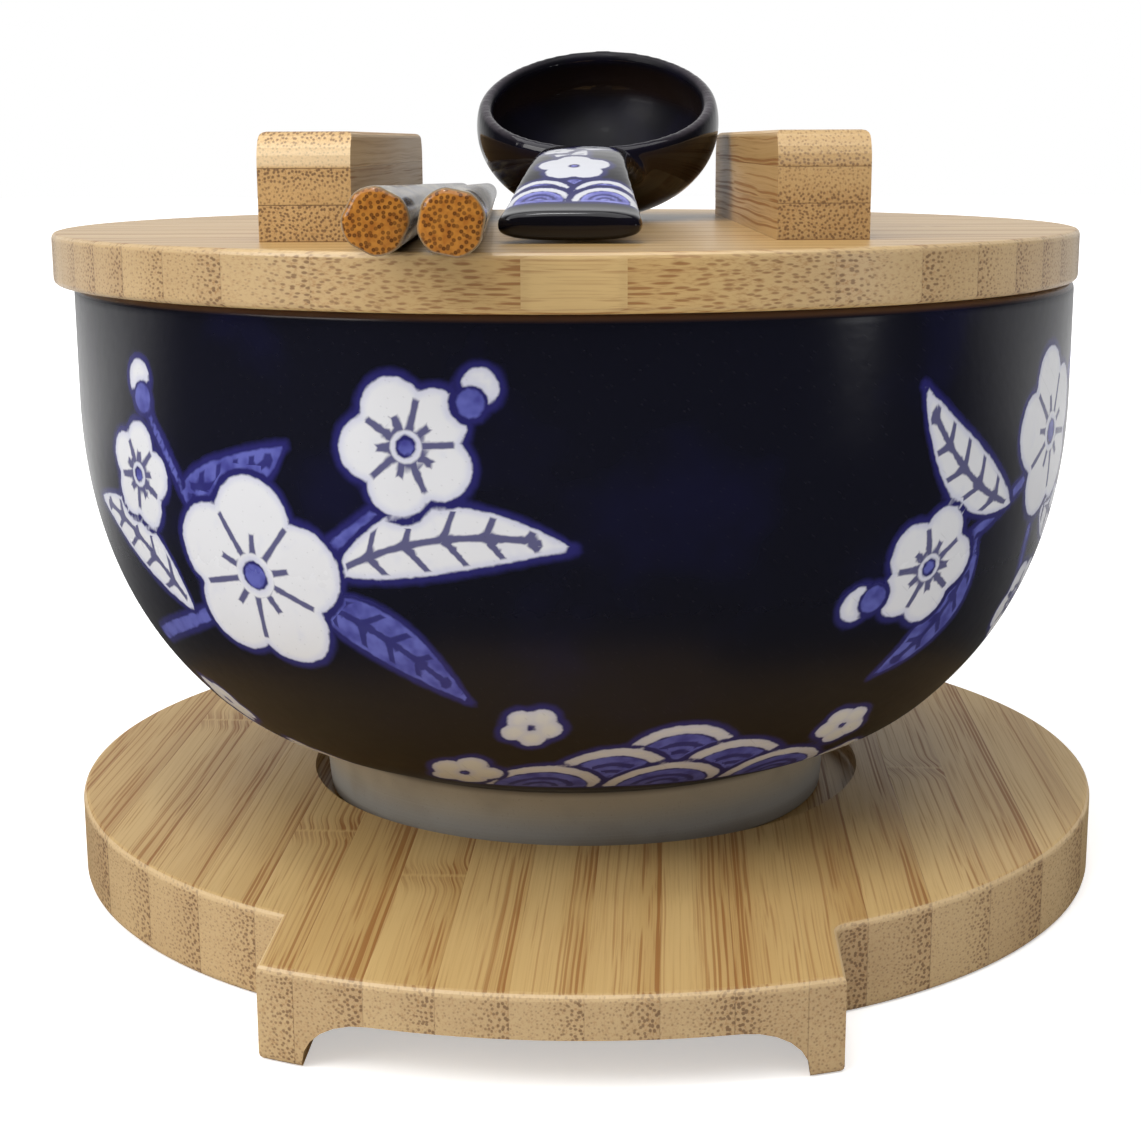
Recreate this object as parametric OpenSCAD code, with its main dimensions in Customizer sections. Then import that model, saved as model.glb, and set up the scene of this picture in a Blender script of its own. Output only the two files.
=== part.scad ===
// A donburi bowl on its bamboo tray, with a bamboo lid, a spoon and a pair of chopsticks on the lid.
// Millimetres, +Z up. The origin is on the table, under the middle of the tray.
// The tray's two tongues point along -Y, which is the front, and along +Y.

/* [Tray] */
// Diameter of the round board
tray_d = 170.6; // [166:0.1:190]
// Thickness of the board
tray_t = 13.2; // [12:0.1:18]
// Reach of each tongue from the middle of the board
tongue_reach = 101; // [98:0.5:120]
// Width of each tongue
tongue_w = 76.4; // [72:0.2:90]
// Sideways set of the tongues on the board
tongue_set = -0.8; // [-1.5:0.1:1.5]
// Radius of the inner corner between a tongue and the round board
tongue_corner_r = 3; // [1:0.5:5]
// Depth of the round recess that takes the bowl's foot
recess_depth = 3; // [1.5:0.1:4]
// Gap around the foot in the recess
recess_gap = 3.5; // [2.5:0.1:5]
// Width of the finger hollow under each tongue
hollow_w = 65.8; // [50:0.2:68]
// Height of the finger hollow
hollow_h = 7.1; // [5:0.1:8]
// Reach of the finger hollow, from the tongue's end inwards
hollow_reach = 33; // [20:0.5:40]
// Width of the rounded corner between the hollow's side and its top
hollow_cove_w = 9; // [4:0.5:12]
// Height of the same rounded corner
hollow_cove_h = 6.4; // [2:0.1:6.5]
// Radius of the board's eased edges
tray_ease = 0.9; // [0.3:0.1:1.5]

/* [Bowl] */
// Diameter of the bowl outside
bowl_d = 161.4; // [156:0.1:164]
// Height of the bowl with its foot
bowl_h = 86.2; // [80:0.1:100]
// Height at which the side turns upright
side_h = 68.4; // [60:0.1:74]
// Diameter of the knee, where the base turns up into the side
knee_d = 131.9; // [126:0.1:136]
// Height of the knee
knee_h = 24.3; // [22:0.1:27]
// Slope of the outside at the knee, in degrees
knee_slope = 48.7; // [42:0.1:55]
// Slope of the underside where it leaves the foot, in degrees
base_slope = 17.8; // [12:0.1:24]
// Diameter of the foot where it meets the base
foot_d = 86.6; // [80:0.1:90]
// Height of the foot
foot_h = 10.5; // [9:0.1:12]
// Amount that the foot narrows towards the tray, on the radius
foot_taper = 1; // [0:0.1:2]
// Thickness of the foot ring
foot_wall = 4.6; // [3.5:0.1:6]
// Height of the hollow inside the foot ring
foot_hollow_h = 7.6; // [5:0.1:8.5]
// Thickness of the wall at the rim
rim_t = 4.2; // [3.5:0.1:5]
// Thickness of the wall at the knee
wall_t = 5; // [4:0.1:6.5]
// Thickness of the floor in the middle
floor_t = 5.2; // [4:0.1:7]

/* [Lid] */
// Diameter of the lid
lid_d = 165; // [164:0.1:180]
// Thickness of the lid where it shows above the rim
lid_t = 7.8; // [6.5:0.1:11]
// Depth of the round step that drops into the bowl's mouth
step_h = 4; // [2:0.1:6]
// Gap between the step and the bowl's wall, on the radius
step_gap = 2.1; // [1.8:0.1:4]
// Radius of the lid's eased edges
lid_ease = 0.8; // [0.3:0.1:1.5]

/* [Handles] */
// Length of each handle block
handle_l = 105; // [90:0.5:112]
// Width of each handle block
handle_w = 13; // [10:0.1:16]
// Thickness of each of the three plies of a block
ply_t = 5.02; // [4:0.01:7]
// Clear width between the two blocks
handle_gap = 57.5; // [57.5:0.1:64]
// Sideways set of the pair of blocks on the lid
handle_set = 0.3; // [-0.5:0.1:1]
// Turn of the left block on the lid, in degrees
handle_turn_left = -2.1; // [-2.2:0.1:1]
// Turn of the right block on the lid, in degrees
handle_turn_right = -0.2; // [-2:0.1:1]
// Radius of the rounded top corner at each end of a block
handle_end_r = 4.4; // [1:0.1:4.5]
// Radius of the eased long edges
handle_ease = 0.8; // [0.3:0.1:1.5]
// Diameter of the dowels that pin the blocks to the lid
dowel_d = 5; // [3:0.1:6]
// Depth of a dowel in the lid
dowel_in_lid = 6; // [4:0.1:7]
// Depth of a dowel in its block
dowel_in_block = 9; // [7:0.1:11]

/* [Spoon] */
// Width of the spoon's bowl at its widest
scoop_w = 43.2; // [38:0.1:44]
// Length of the spoon's bowl at its widest
scoop_l = 51; // [46:0.1:54]
// Depth of the bowl outside, from the opening to the bottom
scoop_depth = 19.8; // [18:0.1:24]
// Distance from the opening down to the widest level
scoop_shoulder = 4.4; // [2:0.1:6]
// Thickness of the spoon's bowl
scoop_t = 2.7; // [2:0.1:3.5]
// Tilt of the opening towards the handle, in degrees
scoop_tilt = 22; // [18:0.5:27]
// Length of the handle from its end to the edge of the opening
grip_l = 71; // [64:0.5:80]
// Width of the handle at its end
grip_end_w = 20.1; // [16:0.1:20.5]
// Thickness of the handle
grip_t = 4.2; // [3.5:0.1:5]
// Rise of the arched handle between its end and the top of the arch
grip_rise = 8.1; // [7:0.1:10]

/* [Chopsticks] */
// Length of a chopstick
stick_l = 225; // [190:1:240]
// Side of the square butt
stick_butt = 7.8; // [6.5:0.1:7.9]
// Diameter of the tip
stick_tip = 4.2; // [3:0.1:5]

/* [As set down] */
// Sideways place of the bowl on the tray
bowl_x = -1.8; // [-2:0.1:2]
// Sideways place of the lid on the bowl
lid_x = -1.3; // [-1.4:0.1:1.4]
// Turn of the lid against the tray, in degrees
lid_turn = 3.7; // [-5:0.1:5]
// Place of the spoon's handle end on the lid, sideways
spoon_x = -0.3; // [-0.5:0.1:3]
// Place of the spoon's handle end on the lid, along the handles
spoon_y = -61.5; // [-66:0.1:-58]
// Turn of the spoon on the lid, in degrees
spoon_turn = -4; // [-5:0.1:0]
// Place of the right chopstick's butt on the lid, sideways
stick_right_x = -14.6; // [-15.5:0.1:-14.5]
// Place of the right chopstick's butt on the lid, along the handles
stick_right_y = -98; // [-99:0.1:-88]
// Place of the left chopstick's butt on the lid, sideways
stick_left_x = -23.8; // [-24.2:0.1:-23.6]
// Place of the left chopstick's butt on the lid, along the handles
stick_left_y = -94; // [-98:0.1:-88]
// Turn of the left chopstick on the lid, in degrees
stick_left_turn = -0.4; // [-0.5:0.1:-0.2]
// Turn of the right chopstick on the lid, in degrees
stick_right_turn = 0.4; // [0:0.1:0.6]
// Roll of the left chopstick about its own length, in degrees
stick_left_roll = 28; // [0:1:45]
// Roll of the right chopstick about its own length, in degrees
stick_right_roll = 12; // [0:1:45]

/* [Hidden] */
TRAY_STAVES = 19;
LID_STAVES = 24;
SIDES = ["left", "right"];
PLIES = ["bottom", "middle", "top"];
function two_digits(i) = str(i < 10 ? "0" : "", i);
tray_stave_nodes = [for (i = [1 : TRAY_STAVES]) str("tray_stave_", two_digits(i))];
lid_stave_nodes = [for (i = [1 : LID_STAVES]) str("lid_stave_", two_digits(i))];
handle_ply_nodes = [for (side = SIDES) for (ply = PLIES) str("handle_", side, "_", ply, "_ply")];

// Overrun of every cut past the face it leaves
over = 1;
// Gap under pieces that lie loose on the lid
rest_gap = 0.2;
// Gap around a dowel, on the radius
dowel_gap = 0.05;
// Gap left at each end of a dowel
dowel_end_gap = 0.3;

// Facets of large and small round shapes, of the spoon's bowl and of its handle
$fn = 180;
SMALL_FN = 40;
SCOOP_FN = 52;
GRIP_FN = 28;
// Steps along an eased edge, a cove, a bowl curve, the spoon's bowl and the spoon's handle
EASE_STEPS = 3;
COVE_STEPS = 6;
CURVE_STEPS = 16;
SCOOP_STEPS = 11;
GRIP_STEPS = 18;

// Heights in the stack
recess_z = tray_t - recess_depth;
rim_z = recess_z + bowl_h;
lid_top_z = rim_z + lid_t;
block_h = len(PLIES) * ply_t;

tray_r = tray_d / 2;
recess_r = foot_d / 2 + recess_gap;
bowl_r = bowl_d / 2;
lid_r = lid_d / 2;
step_r = bowl_r - rim_t - step_gap;

// Staves of the tray run along Y: their joints are spread over the board, off the middle line
tray_stave_w = tray_d / (TRAY_STAVES - 1);
tray_joint_share = 0.43;
// Staves of the lid run along X: the first is a little wider and the last is cut narrow by the rim
lid_last_stave_share = 0.53;
lid_first_stave_share = 1.04;
lid_stave_w = lid_d / (LID_STAVES - 2 + lid_first_stave_share + lid_last_stave_share);

// Draws of the bowl's curves: at the foot as a share of the rise to the knee, at the knee as a share
// of its radius, and under the rim as a share of the rise above the knee
base_draw_share = 0.94;
knee_draw_share = 0.14;
side_draw_share = 0.41;
// Draws above the knee and towards the floor, as shares of the draw at the knee
wall_draw_share = 1.6;
floor_draw_share = 1.4;

// Narrowing of the spoon's bowl from its middle to its tip, as a share of the width
scoop_egg_share = 0.06;

// Diameter of a chopstick's round corners, as a share of its side
stick_round_share = 1.07;
// Taper of a chopstick's flats, as a share of the whole taper
stick_flat_share = 0.8;

// Staves of the lid that hold the dowels
DOWEL_STAVES = [7, 16];

// A point on an arc, and the arc's points from angle a0 to a1
function on_arc(c, r, a) = [c[0] + r * cos(a), c[1] + r * sin(a)];
function arc(c, r, a0, a1, steps) = [for (i = [0 : steps]) on_arc(c, r, a0 + (a1 - a0) * i / steps)];

// A cubic curve from p to s, drawn towards q and r
function curve_at(p, q, r, s, t) =
    pow(1 - t, 3) * p + 3 * pow(1 - t, 2) * t * q + 3 * (1 - t) * pow(t, 2) * r + pow(t, 3) * s;
function curve(p, q, r, s, steps) = [for (i = [0 : steps]) curve_at(p, q, r, s, i / steps)];

// Points of a quarter oval, rx wide and ry high, from angle a0
function quarter_oval(c, rx, ry, a0) =
    [for (i = [0 : COVE_STEPS])
        let (a = a0 + 90 * i / COVE_STEPS)
            [c[0] + rx * cos(a), c[1] + ry * sin(a)]];

// A direction at an angle, in degrees
function heading(a) = [cos(a), sin(a)];

// Half outline of a disc with eased edges, from z to z + t
function disc_outline(r, t, e, z = 0) = concat(
    [[0, z]],
    arc([r - e, z + e], e, -90, 0, EASE_STEPS),
    arc([r - e, z + t - e], e, 0, 90, EASE_STEPS),
    [[0, z + t]]
);

// Outline of a bar's cross-section with eased edges, w wide, from z to z + t
function bar_outline(w, t, e) = concat(
    arc([w / 2 - e, e], e, -90, 0, EASE_STEPS),
    arc([w / 2 - e, t - e], e, 0, 90, EASE_STEPS),
    arc([e - w / 2, t - e], e, 90, 180, EASE_STEPS),
    arc([e - w / 2, e], e, 180, 270, EASE_STEPS)
);

// A prism along Y from a cross-section in X and Z
module along_y(length) {
    rotate([90, 0, 0])
        linear_extrude(height = length, center = true)
            children();
}

// A prism along X from a cross-section in Y and Z
module along_x(length) {
    rotate([90, 0, 90])
        linear_extrude(height = length, center = true)
            children();
}

// The places of the pieces as they are set down
module on_bowl() {
    translate([bowl_x, 0, recess_z])
        children();
}

module on_rim() {
    translate([bowl_x + lid_x, 0, rim_z])
        rotate([0, 0, lid_turn])
            children();
}

module on_lid() {
    translate([0, 0, lid_t])
        on_rim()
            children();
}

// Fill of the inner corner between a tongue and the round board, with the same eased edges
module tongue_corner(edge_x) {
    centre_x = edge_x + tongue_corner_r;
    centre_y = -sqrt(pow(tray_r + tongue_corner_r, 2) - pow(centre_x, 2));
    meet = tray_r / (tray_r + tongue_corner_r);
    corner_y = -sqrt(pow(tray_r, 2) - pow(edge_x, 2));
    inner = tray_r - tray_t;
    difference() {
        linear_extrude(height = tray_t)
            polygon([
                [edge_x - tray_ease, centre_y],
                [centre_x, centre_y],
                [centre_x * meet, centre_y * meet],
                [centre_x * inner / tray_r, corner_y * inner / tray_r],
                [edge_x - tray_ease, corner_y * inner / tray_r]
            ]);
        translate([centre_x, centre_y, 0])
            rotate_extrude($fn = SMALL_FN)
                polygon(concat(
                    [[0, -over], [tongue_corner_r + tray_ease, -over]],
                    arc([tongue_corner_r + tray_ease, tray_ease], tray_ease, 270, 180, EASE_STEPS),
                    arc([tongue_corner_r + tray_ease, tray_t - tray_ease], tray_ease, 180, 90, EASE_STEPS),
                    [[tongue_corner_r + tray_ease, tray_t + over], [0, tray_t + over]]
                ));
    }
}

// One finger hollow, open at the front and towards the table
module finger_hollow() {
    side_x = hollow_w / 2 - hollow_cove_w;
    back_y = hollow_reach - tongue_reach - hollow_cove_w;
    cove_z = hollow_h - hollow_cove_h;
    intersection() {
        along_y(2 * (tongue_reach + over))
            polygon(concat(
                [[hollow_w / 2, -over]],
                quarter_oval([side_x, cove_z], hollow_cove_w, hollow_cove_h, 0),
                quarter_oval([-side_x, cove_z], hollow_cove_w, hollow_cove_h, 90),
                [[-hollow_w / 2, -over]]
            ));
        along_x(tongue_w)
            polygon(concat(
                [[back_y + hollow_cove_w, -over]],
                quarter_oval([back_y, cove_z], hollow_cove_w, hollow_cove_h, 0),
                [[-tongue_reach - over, hollow_h], [-tongue_reach - over, -over]]
            ));
    }
}

// The whole board, glued and milled, before it is seen as staves
module tray_board() {
    difference() {
        union() {
            rotate_extrude()
                polygon(disc_outline(tray_r, tray_t, tray_ease));
            intersection() {
                rotate_extrude()
                    polygon(disc_outline(tongue_reach, tray_t, tray_ease));
                translate([tongue_set, 0, 0])
                    along_y(2 * (tongue_reach + over))
                        polygon(bar_outline(tongue_w, tray_t, tray_ease));
            }
            for (end = [0, 1])
                mirror([0, end, 0]) {
                    tongue_corner(tongue_w / 2 + tongue_set);
                    mirror([1, 0, 0])
                        tongue_corner(tongue_w / 2 - tongue_set);
                }
        }
        rotate_extrude()
            polygon(concat(
                [[0, recess_z]],
                arc([recess_r - tray_ease, recess_z + tray_ease], tray_ease, -90, 0, EASE_STEPS),
                [[recess_r, tray_t + over], [0, tray_t + over]]
            ));
        for (end = [0, 1])
            mirror([0, end, 0])
                finger_hollow();
    }
}

// Where the joint after stave i lies, and the edges of the board before the first and after the last
function tray_joint_x(i) =
    i == 0 ? -tray_r - over :
    i == TRAY_STAVES ? tray_r + over :
    (i - TRAY_STAVES / 2 - 0.5 + tray_joint_share) * tray_stave_w;

// Stave i of the tray, counted from the left
module tray_stave(i) {
    width = tray_joint_x(i) - tray_joint_x(i - 1);
    color(i % 2 == 0 ? "burlywood" : "tan")
        intersection() {
            tray_board();
            translate([tray_joint_x(i - 1), -tongue_reach - over, -over])
                cube([width, 2 * (tongue_reach + over), tray_t + 2 * over]);
        }
}

// Half outline of the bowl, from the tray upwards: foot, outside, rim, inside, and the hollow in the foot
module bowl() {
    foot_r = foot_d / 2;
    foot_in_r = foot_r - foot_wall;
    knee = [knee_d / 2, knee_h];
    knee_in = knee + wall_t * heading(knee_slope + 90);
    base_draw = base_draw_share * (knee_h - foot_h);
    knee_draw = knee_draw_share * knee_d / 2;
    side_draw = side_draw_share * (side_h - knee_h);
    foot_ease = foot_wall / 8;
    rim_ease = rim_t / 3;
    floor_h = foot_hollow_h + floor_t;
    rim_in_r = bowl_r - rim_t;
    color("midnightblue")
        on_bowl()
            rotate_extrude()
                polygon(concat(
                    arc([foot_in_r + foot_ease, foot_ease], foot_ease, 180, 270, EASE_STEPS),
                    arc([foot_r - foot_taper - foot_ease, foot_ease], foot_ease, -90, 0, EASE_STEPS),
                    curve([foot_r, foot_h],
                        [foot_r, foot_h] + base_draw * heading(base_slope),
                        knee - knee_draw * heading(knee_slope), knee, CURVE_STEPS),
                    curve(knee, knee + wall_draw_share * knee_draw * heading(knee_slope),
                        [bowl_r, side_h - side_draw], [bowl_r, side_h], CURVE_STEPS),
                    arc([bowl_r - rim_ease, bowl_h - rim_ease], rim_ease, 0, 90, EASE_STEPS),
                    arc([rim_in_r + rim_ease, bowl_h - rim_ease], rim_ease, 90, 180, EASE_STEPS),
                    curve([rim_in_r, side_h], [rim_in_r, side_h - side_draw],
                        knee_in + wall_draw_share * knee_draw * heading(knee_slope), knee_in, CURVE_STEPS),
                    curve(knee_in, knee_in - floor_draw_share * knee_draw * heading(knee_slope),
                        [knee_in[0] / 2, floor_h], [0, floor_h], CURVE_STEPS),
                    [[0, foot_hollow_h]],
                    arc([foot_in_r - foot_ease, foot_hollow_h - foot_ease], foot_ease, 90, 0, EASE_STEPS)
                ));
}

// The whole lid board with its step, before it is seen as staves
module lid_board() {
    rotate_extrude()
        polygon(disc_outline(lid_r, lid_t, lid_ease));
    rotate_extrude()
        polygon(concat(
            [[0, -step_h]],
            arc([step_r - lid_ease, lid_ease - step_h], lid_ease, -90, 0, EASE_STEPS),
            [[step_r, lid_t / 2], [0, lid_t / 2]]
        ));
}

function lid_joint_y(i) =
    i == 0 ? -lid_r - over :
    i == LID_STAVES ? lid_r + over :
    -lid_r + (i - 1 + lid_first_stave_share) * lid_stave_w;

function lid_stave_middle_y(i) = (lid_joint_y(i) + lid_joint_y(i - 1)) / 2;

function handle_x(side) = handle_set + (side == "left" ? -1 : 1) * (handle_gap + handle_w) / 2;
function handle_turn(side) = side == "left" ? handle_turn_left : handle_turn_right;

// The dowels' places on the lid's top
module at_dowels(sides) {
    for (side = sides)
        for (stave = DOWEL_STAVES)
            translate([handle_x(side), lid_stave_middle_y(stave), 0])
                translate([-lid_stave_middle_y(stave) * tan(handle_turn(side)), 0, 0])
                    children();
}

module dowel_holes(sides) {
    at_dowels(sides)
        translate([0, 0, -dowel_in_lid])
            cylinder(h = dowel_in_lid + dowel_in_block, r = dowel_d / 2 + dowel_gap, $fn = SMALL_FN);
}

// Stave i of the lid, counted from the front
module lid_stave(i) {
    width = lid_joint_y(i) - lid_joint_y(i - 1);
    color(i % 2 == 0 ? "wheat" : "burlywood")
        on_rim()
            difference() {
                intersection() {
                    lid_board();
                    translate([-lid_r - over, lid_joint_y(i - 1), -step_h - over])
                        cube([2 * (lid_r + over), width, step_h + lid_t + 2 * over]);
                }
                if (len(search(i, DOWEL_STAVES)) > 0)
                    translate([0, 0, lid_t])
                        dowel_holes(SIDES);
            }
}

// A whole handle block, before it is seen as plies
module handle_block() {
    half_l = handle_l / 2;
    half_w = handle_w / 2;
    intersection() {
        along_x(handle_w)
            polygon(concat(
                [[-half_l, 0], [half_l, 0]],
                arc([half_l - handle_end_r, block_h - handle_end_r], handle_end_r, 0, 90, COVE_STEPS),
                arc([handle_end_r - half_l, block_h - handle_end_r], handle_end_r, 90, 180, COVE_STEPS)
            ));
        along_y(handle_l)
            polygon(concat(
                [[-half_w, 0], [half_w, 0]],
                arc([half_w - handle_ease, block_h - handle_ease], handle_ease, 0, 90, EASE_STEPS),
                arc([handle_ease - half_w, block_h - handle_ease], handle_ease, 90, 180, EASE_STEPS)
            ));
    }
}

// One ply of a handle block: level 0 is glued to the lid
module handle_ply(side, level) {
    color(level % 2 == 0 ? "burlywood" : "tan")
        on_lid()
            difference() {
                intersection() {
                    translate([handle_x(side), 0, 0])
                        rotate([0, 0, handle_turn(side)])
                            handle_block();
                    translate([handle_x(side) - handle_w, -handle_l, level * ply_t])
                        cube([2 * handle_w, 2 * handle_l, ply_t]);
                }
                if (level * ply_t < dowel_in_block)
                    dowel_holes([side]);
            }
}

// The four dowels, hidden in the lid and the blocks
module handle_dowels() {
    length = dowel_in_lid + dowel_in_block - 2 * dowel_end_gap;
    color("peru")
        on_lid()
            at_dowels(SIDES)
                translate([0, 0, dowel_end_gap - dowel_in_lid])
                    cylinder(h = length, r = dowel_d / 2, $fn = SMALL_FN);
}

// Joins rings of points, each with the same number of points, into one closed skin
module skin(rings) {
    count = len(rings[0]);
    last = len(rings) - 1;
    pairs = [for (k = [0 : last - 1]) for (i = [0 : count - 1])
        let (a = k * count + i, b = k * count + (i + 1) % count)
            [[a, b, b + count], [a, b + count, a + count]]];
    polyhedron(
        points = [for (ring = rings) for (p = ring) p],
        faces = concat(
            [for (pair = pairs) for (face = pair) face],
            [[for (i = [count - 1 : -1 : 0]) i]],
            [[for (i = [0 : count - 1]) last * count + i]]
        )
    );
}

// The spoon's bowl: half outline from near the middle of the bottom up to the rim, set inwards by a wall
function scoop_side(inset) =
    let (
        r = scoop_w / 2 - inset,
        h = scoop_depth - scoop_shoulder - inset,
        a0 = -86,
        a1 = asin((scoop_shoulder - scoop_t / 2) / h)
    )
        [for (i = [0 : SCOOP_STEPS])
            let (a = a0 + (a1 - a0) * i / SCOOP_STEPS)
                [r * cos(a), h * sin(a) - scoop_shoulder]];

scoop_rim = scoop_side(0)[SCOOP_STEPS] - [scoop_t / 2, 0];

// An egg-shaped ring through a point of the outline: it narrows away from the handle
function scoop_ring(p) = [for (i = [0 : SCOOP_FN - 1])
    let (a = -360 * i / SCOOP_FN)
        [p[0] * cos(a) * (1 - scoop_egg_share * sin(a)), p[0] * sin(a) * scoop_l / scoop_w, p[1]]];

module scoop_outside() {
    outline = concat(scoop_side(0), arc(scoop_rim, scoop_t / 2, 30, 90, EASE_STEPS));
    skin([for (p = outline) scoop_ring(p)]);
}

module scoop_inside() {
    outline = concat(
        scoop_side(scoop_t),
        arc(scoop_rim, scoop_t / 2, 150, 90, EASE_STEPS),
        [[scoop_rim[0], scoop_depth]]
    );
    skin([for (p = outline) scoop_ring(p)]);
}

// Reach of the opening's edge from its middle, and the height of the opening's middle above the lid
scoop_half_l = scoop_rim[0] * scoop_l / scoop_w;
scoop_y = grip_l + scoop_half_l * cos(scoop_tilt);
scoop_z = scoop_shoulder * cos(scoop_tilt)
    + norm([scoop_l / 2 * sin(scoop_tilt), (scoop_depth - scoop_shoulder) * cos(scoop_tilt)]);

module at_scoop() {
    translate([0, scoop_y, scoop_z])
        rotate([scoop_tilt, 0, 0])
            children();
}

// A rounded rectangle of full size w by t: squareness 2 is an ellipse
function rounded_section(w, t, squareness) = [for (i = [0 : GRIP_FN - 1])
    let (c = cos(360 * i / GRIP_FN), s = sin(360 * i / GRIP_FN))
        [sign(c) * pow(abs(c), 2 / squareness) * w / 2, sign(s) * pow(abs(s), 2 / squareness) * t / 2]];

// The handle's arch as shares of its length and rise, and its width as shares of the end's width
grip_arch_shares = [[0, 0], [0.2, 0.08], [0.25, 1.78], [1, 0.7]];
grip_width_shares = [1, 0.97, 0.38, 0.9];
grip_end_r = grip_t / 2;

// A cross-section of the handle at a place along it: the first ones close its rounded end
function grip_ring(share) =
    let (
        place = curve_at(grip_arch_shares[0], grip_arch_shares[1],
            grip_arch_shares[2], grip_arch_shares[3], share),
        wide = grip_end_w * curve_at(grip_width_shares[0], grip_width_shares[1],
            grip_width_shares[2], grip_width_shares[3], share),
        y = place[0] * (grip_l + scoop_t / 2),
        closing = y < grip_end_r ? 1 - sqrt(1 - pow(1 - y / grip_end_r, 2)) : 0,
        section = rounded_section(wide - closing * grip_end_w / 4, grip_t * (1 - 0.9 * closing), 3)
    )
        [for (p = section) [p[0], y, place[1] * grip_rise + grip_t / 2 + p[1]]];

module grip() {
    skin([for (k = [0 : GRIP_STEPS]) grip_ring(pow(k / GRIP_STEPS, 1.8))]);
}

// The spoon lies along Y, its handle's end at y = 0 and its bowl resting on the lid
module spoon() {
    color("midnightblue")
        on_lid()
            translate([spoon_x, spoon_y, rest_gap])
                rotate([0, 0, spoon_turn])
                    difference() {
                        union() {
                            at_scoop()
                                scoop_outside();
                            grip();
                        }
                        at_scoop()
                            scoop_inside();
                    }
}

// A chopstick is square with round corners at its butt and round at its tip
stick_round_r = stick_butt * stick_round_share / 2;
stick_ease = stick_butt / 14;

// Height of the axis above the table side at the butt, for a stick rolled about its length
function butt_axis_h(roll) =
    roll > acos(1 / stick_round_share) ? stick_round_r :
    (cos(roll) + sqrt(pow(stick_round_share, 2) - 1) * sin(roll)) * stick_butt / 2;

module chopstick(roll) {
    butt_h = butt_axis_h(roll);
    tip_r = stick_tip / 2;
    slope = asin((butt_h - tip_r) / stick_l);
    flat_slope = atan(stick_flat_share * (stick_butt - stick_tip) / 2 / stick_l);
    translate([0, butt_h * sin(slope), butt_h])
        rotate([-90 - slope, 0, 0])
            rotate([0, 0, -roll])
                difference() {
                    rotate_extrude($fn = SMALL_FN)
                        polygon([
                            [0, 0],
                            [stick_round_r - stick_ease, 0],
                            [stick_round_r, stick_ease],
                            [tip_r, stick_l - stick_ease],
                            [tip_r - stick_ease, stick_l],
                            [0, stick_l]
                        ]);
                    for (side = [0 : 3])
                        rotate([0, 0, 90 * side])
                            translate([stick_butt / 2, -stick_butt, 0])
                                rotate([0, -flat_slope, 0])
                                    translate([0, 0, -over])
                                        cube([stick_butt, 2 * stick_butt, stick_l + 2 * over]);
                }
}

module place_stick(x, y, turn, roll) {
    color("tan")
        on_lid()
            translate([x, y, rest_gap])
                rotate([0, 0, turn])
                    chopstick(roll);
}

module chopstick_left() {
    place_stick(stick_left_x, stick_left_y, stick_left_turn, stick_left_roll);
}

module chopstick_right() {
    place_stick(stick_right_x, stick_right_y, stick_right_turn, stick_right_roll);
}

for (i = [1 : TRAY_STAVES])
    tray_stave(i);
bowl();
for (i = [1 : LID_STAVES])
    lid_stave(i);
for (s = [0 : len(SIDES) - 1])
    for (p = [0 : len(PLIES) - 1])
        handle_ply(SIDES[s], p);
handle_dowels();
spoon();
chopstick_left();
chopstick_right();
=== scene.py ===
"""Dresses a donburi set: a glazed bowl on a bamboo tray, with a bamboo lid, a spoon and two chopsticks."""

import logging
import math
from dataclasses import dataclass, field
from enum import Enum
from typing import Any, Callable, Dict, List, Sequence, Tuple, Union

import bmesh
import bpy
import numpy as np
from bmesh.types import BMEdge, BMesh, BMVert
from bpy.types import Material, Mesh, Node, NodeSocket, Object
from mathutils import Euler, Matrix, Vector


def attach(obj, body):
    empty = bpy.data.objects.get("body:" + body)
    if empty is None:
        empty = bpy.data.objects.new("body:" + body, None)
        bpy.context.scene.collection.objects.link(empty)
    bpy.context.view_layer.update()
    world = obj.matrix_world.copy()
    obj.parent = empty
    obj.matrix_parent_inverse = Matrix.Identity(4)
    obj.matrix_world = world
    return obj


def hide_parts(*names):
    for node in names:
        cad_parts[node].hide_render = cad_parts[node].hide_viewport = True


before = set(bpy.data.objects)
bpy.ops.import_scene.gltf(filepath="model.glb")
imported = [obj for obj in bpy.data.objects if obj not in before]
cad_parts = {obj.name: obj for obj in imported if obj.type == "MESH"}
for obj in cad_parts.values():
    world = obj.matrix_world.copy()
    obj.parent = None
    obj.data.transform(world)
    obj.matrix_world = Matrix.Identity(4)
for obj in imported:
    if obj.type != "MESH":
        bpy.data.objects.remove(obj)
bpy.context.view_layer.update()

LOG = logging.getLogger("donburi")

MM = 0.001
Rgb = Tuple[float, float, float]
Triple = Tuple[float, float, float]
Pair = Tuple[float, float]
Number = Union[int, float, "Value"]
Method = Callable[["Value", Number], "Value"]
WHITE: Rgb = (1.0, 1.0, 1.0)
BLACK: Rgb = (0.0, 0.0, 0.0)


def math_methods(operation: str) -> Tuple[Method, Method]:
    """Two methods that add a Math node, with the value as the first and as the second number."""

    def first(self: "Value", other: Number) -> "Value":
        """A Math node of the value and another number."""
        return self.tree.math(operation, self, other)

    def second(self: "Value", other: Number) -> "Value":
        """A Math node of another number and the value."""
        return self.tree.math(operation, other, self)

    return first, second


class Signal:
    """What an output socket of a shader carries."""

    def __init__(self, tree: "Tree", socket: NodeSocket) -> None:
        """Keeps the tree and the socket."""
        self.tree = tree
        self.socket = socket


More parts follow.
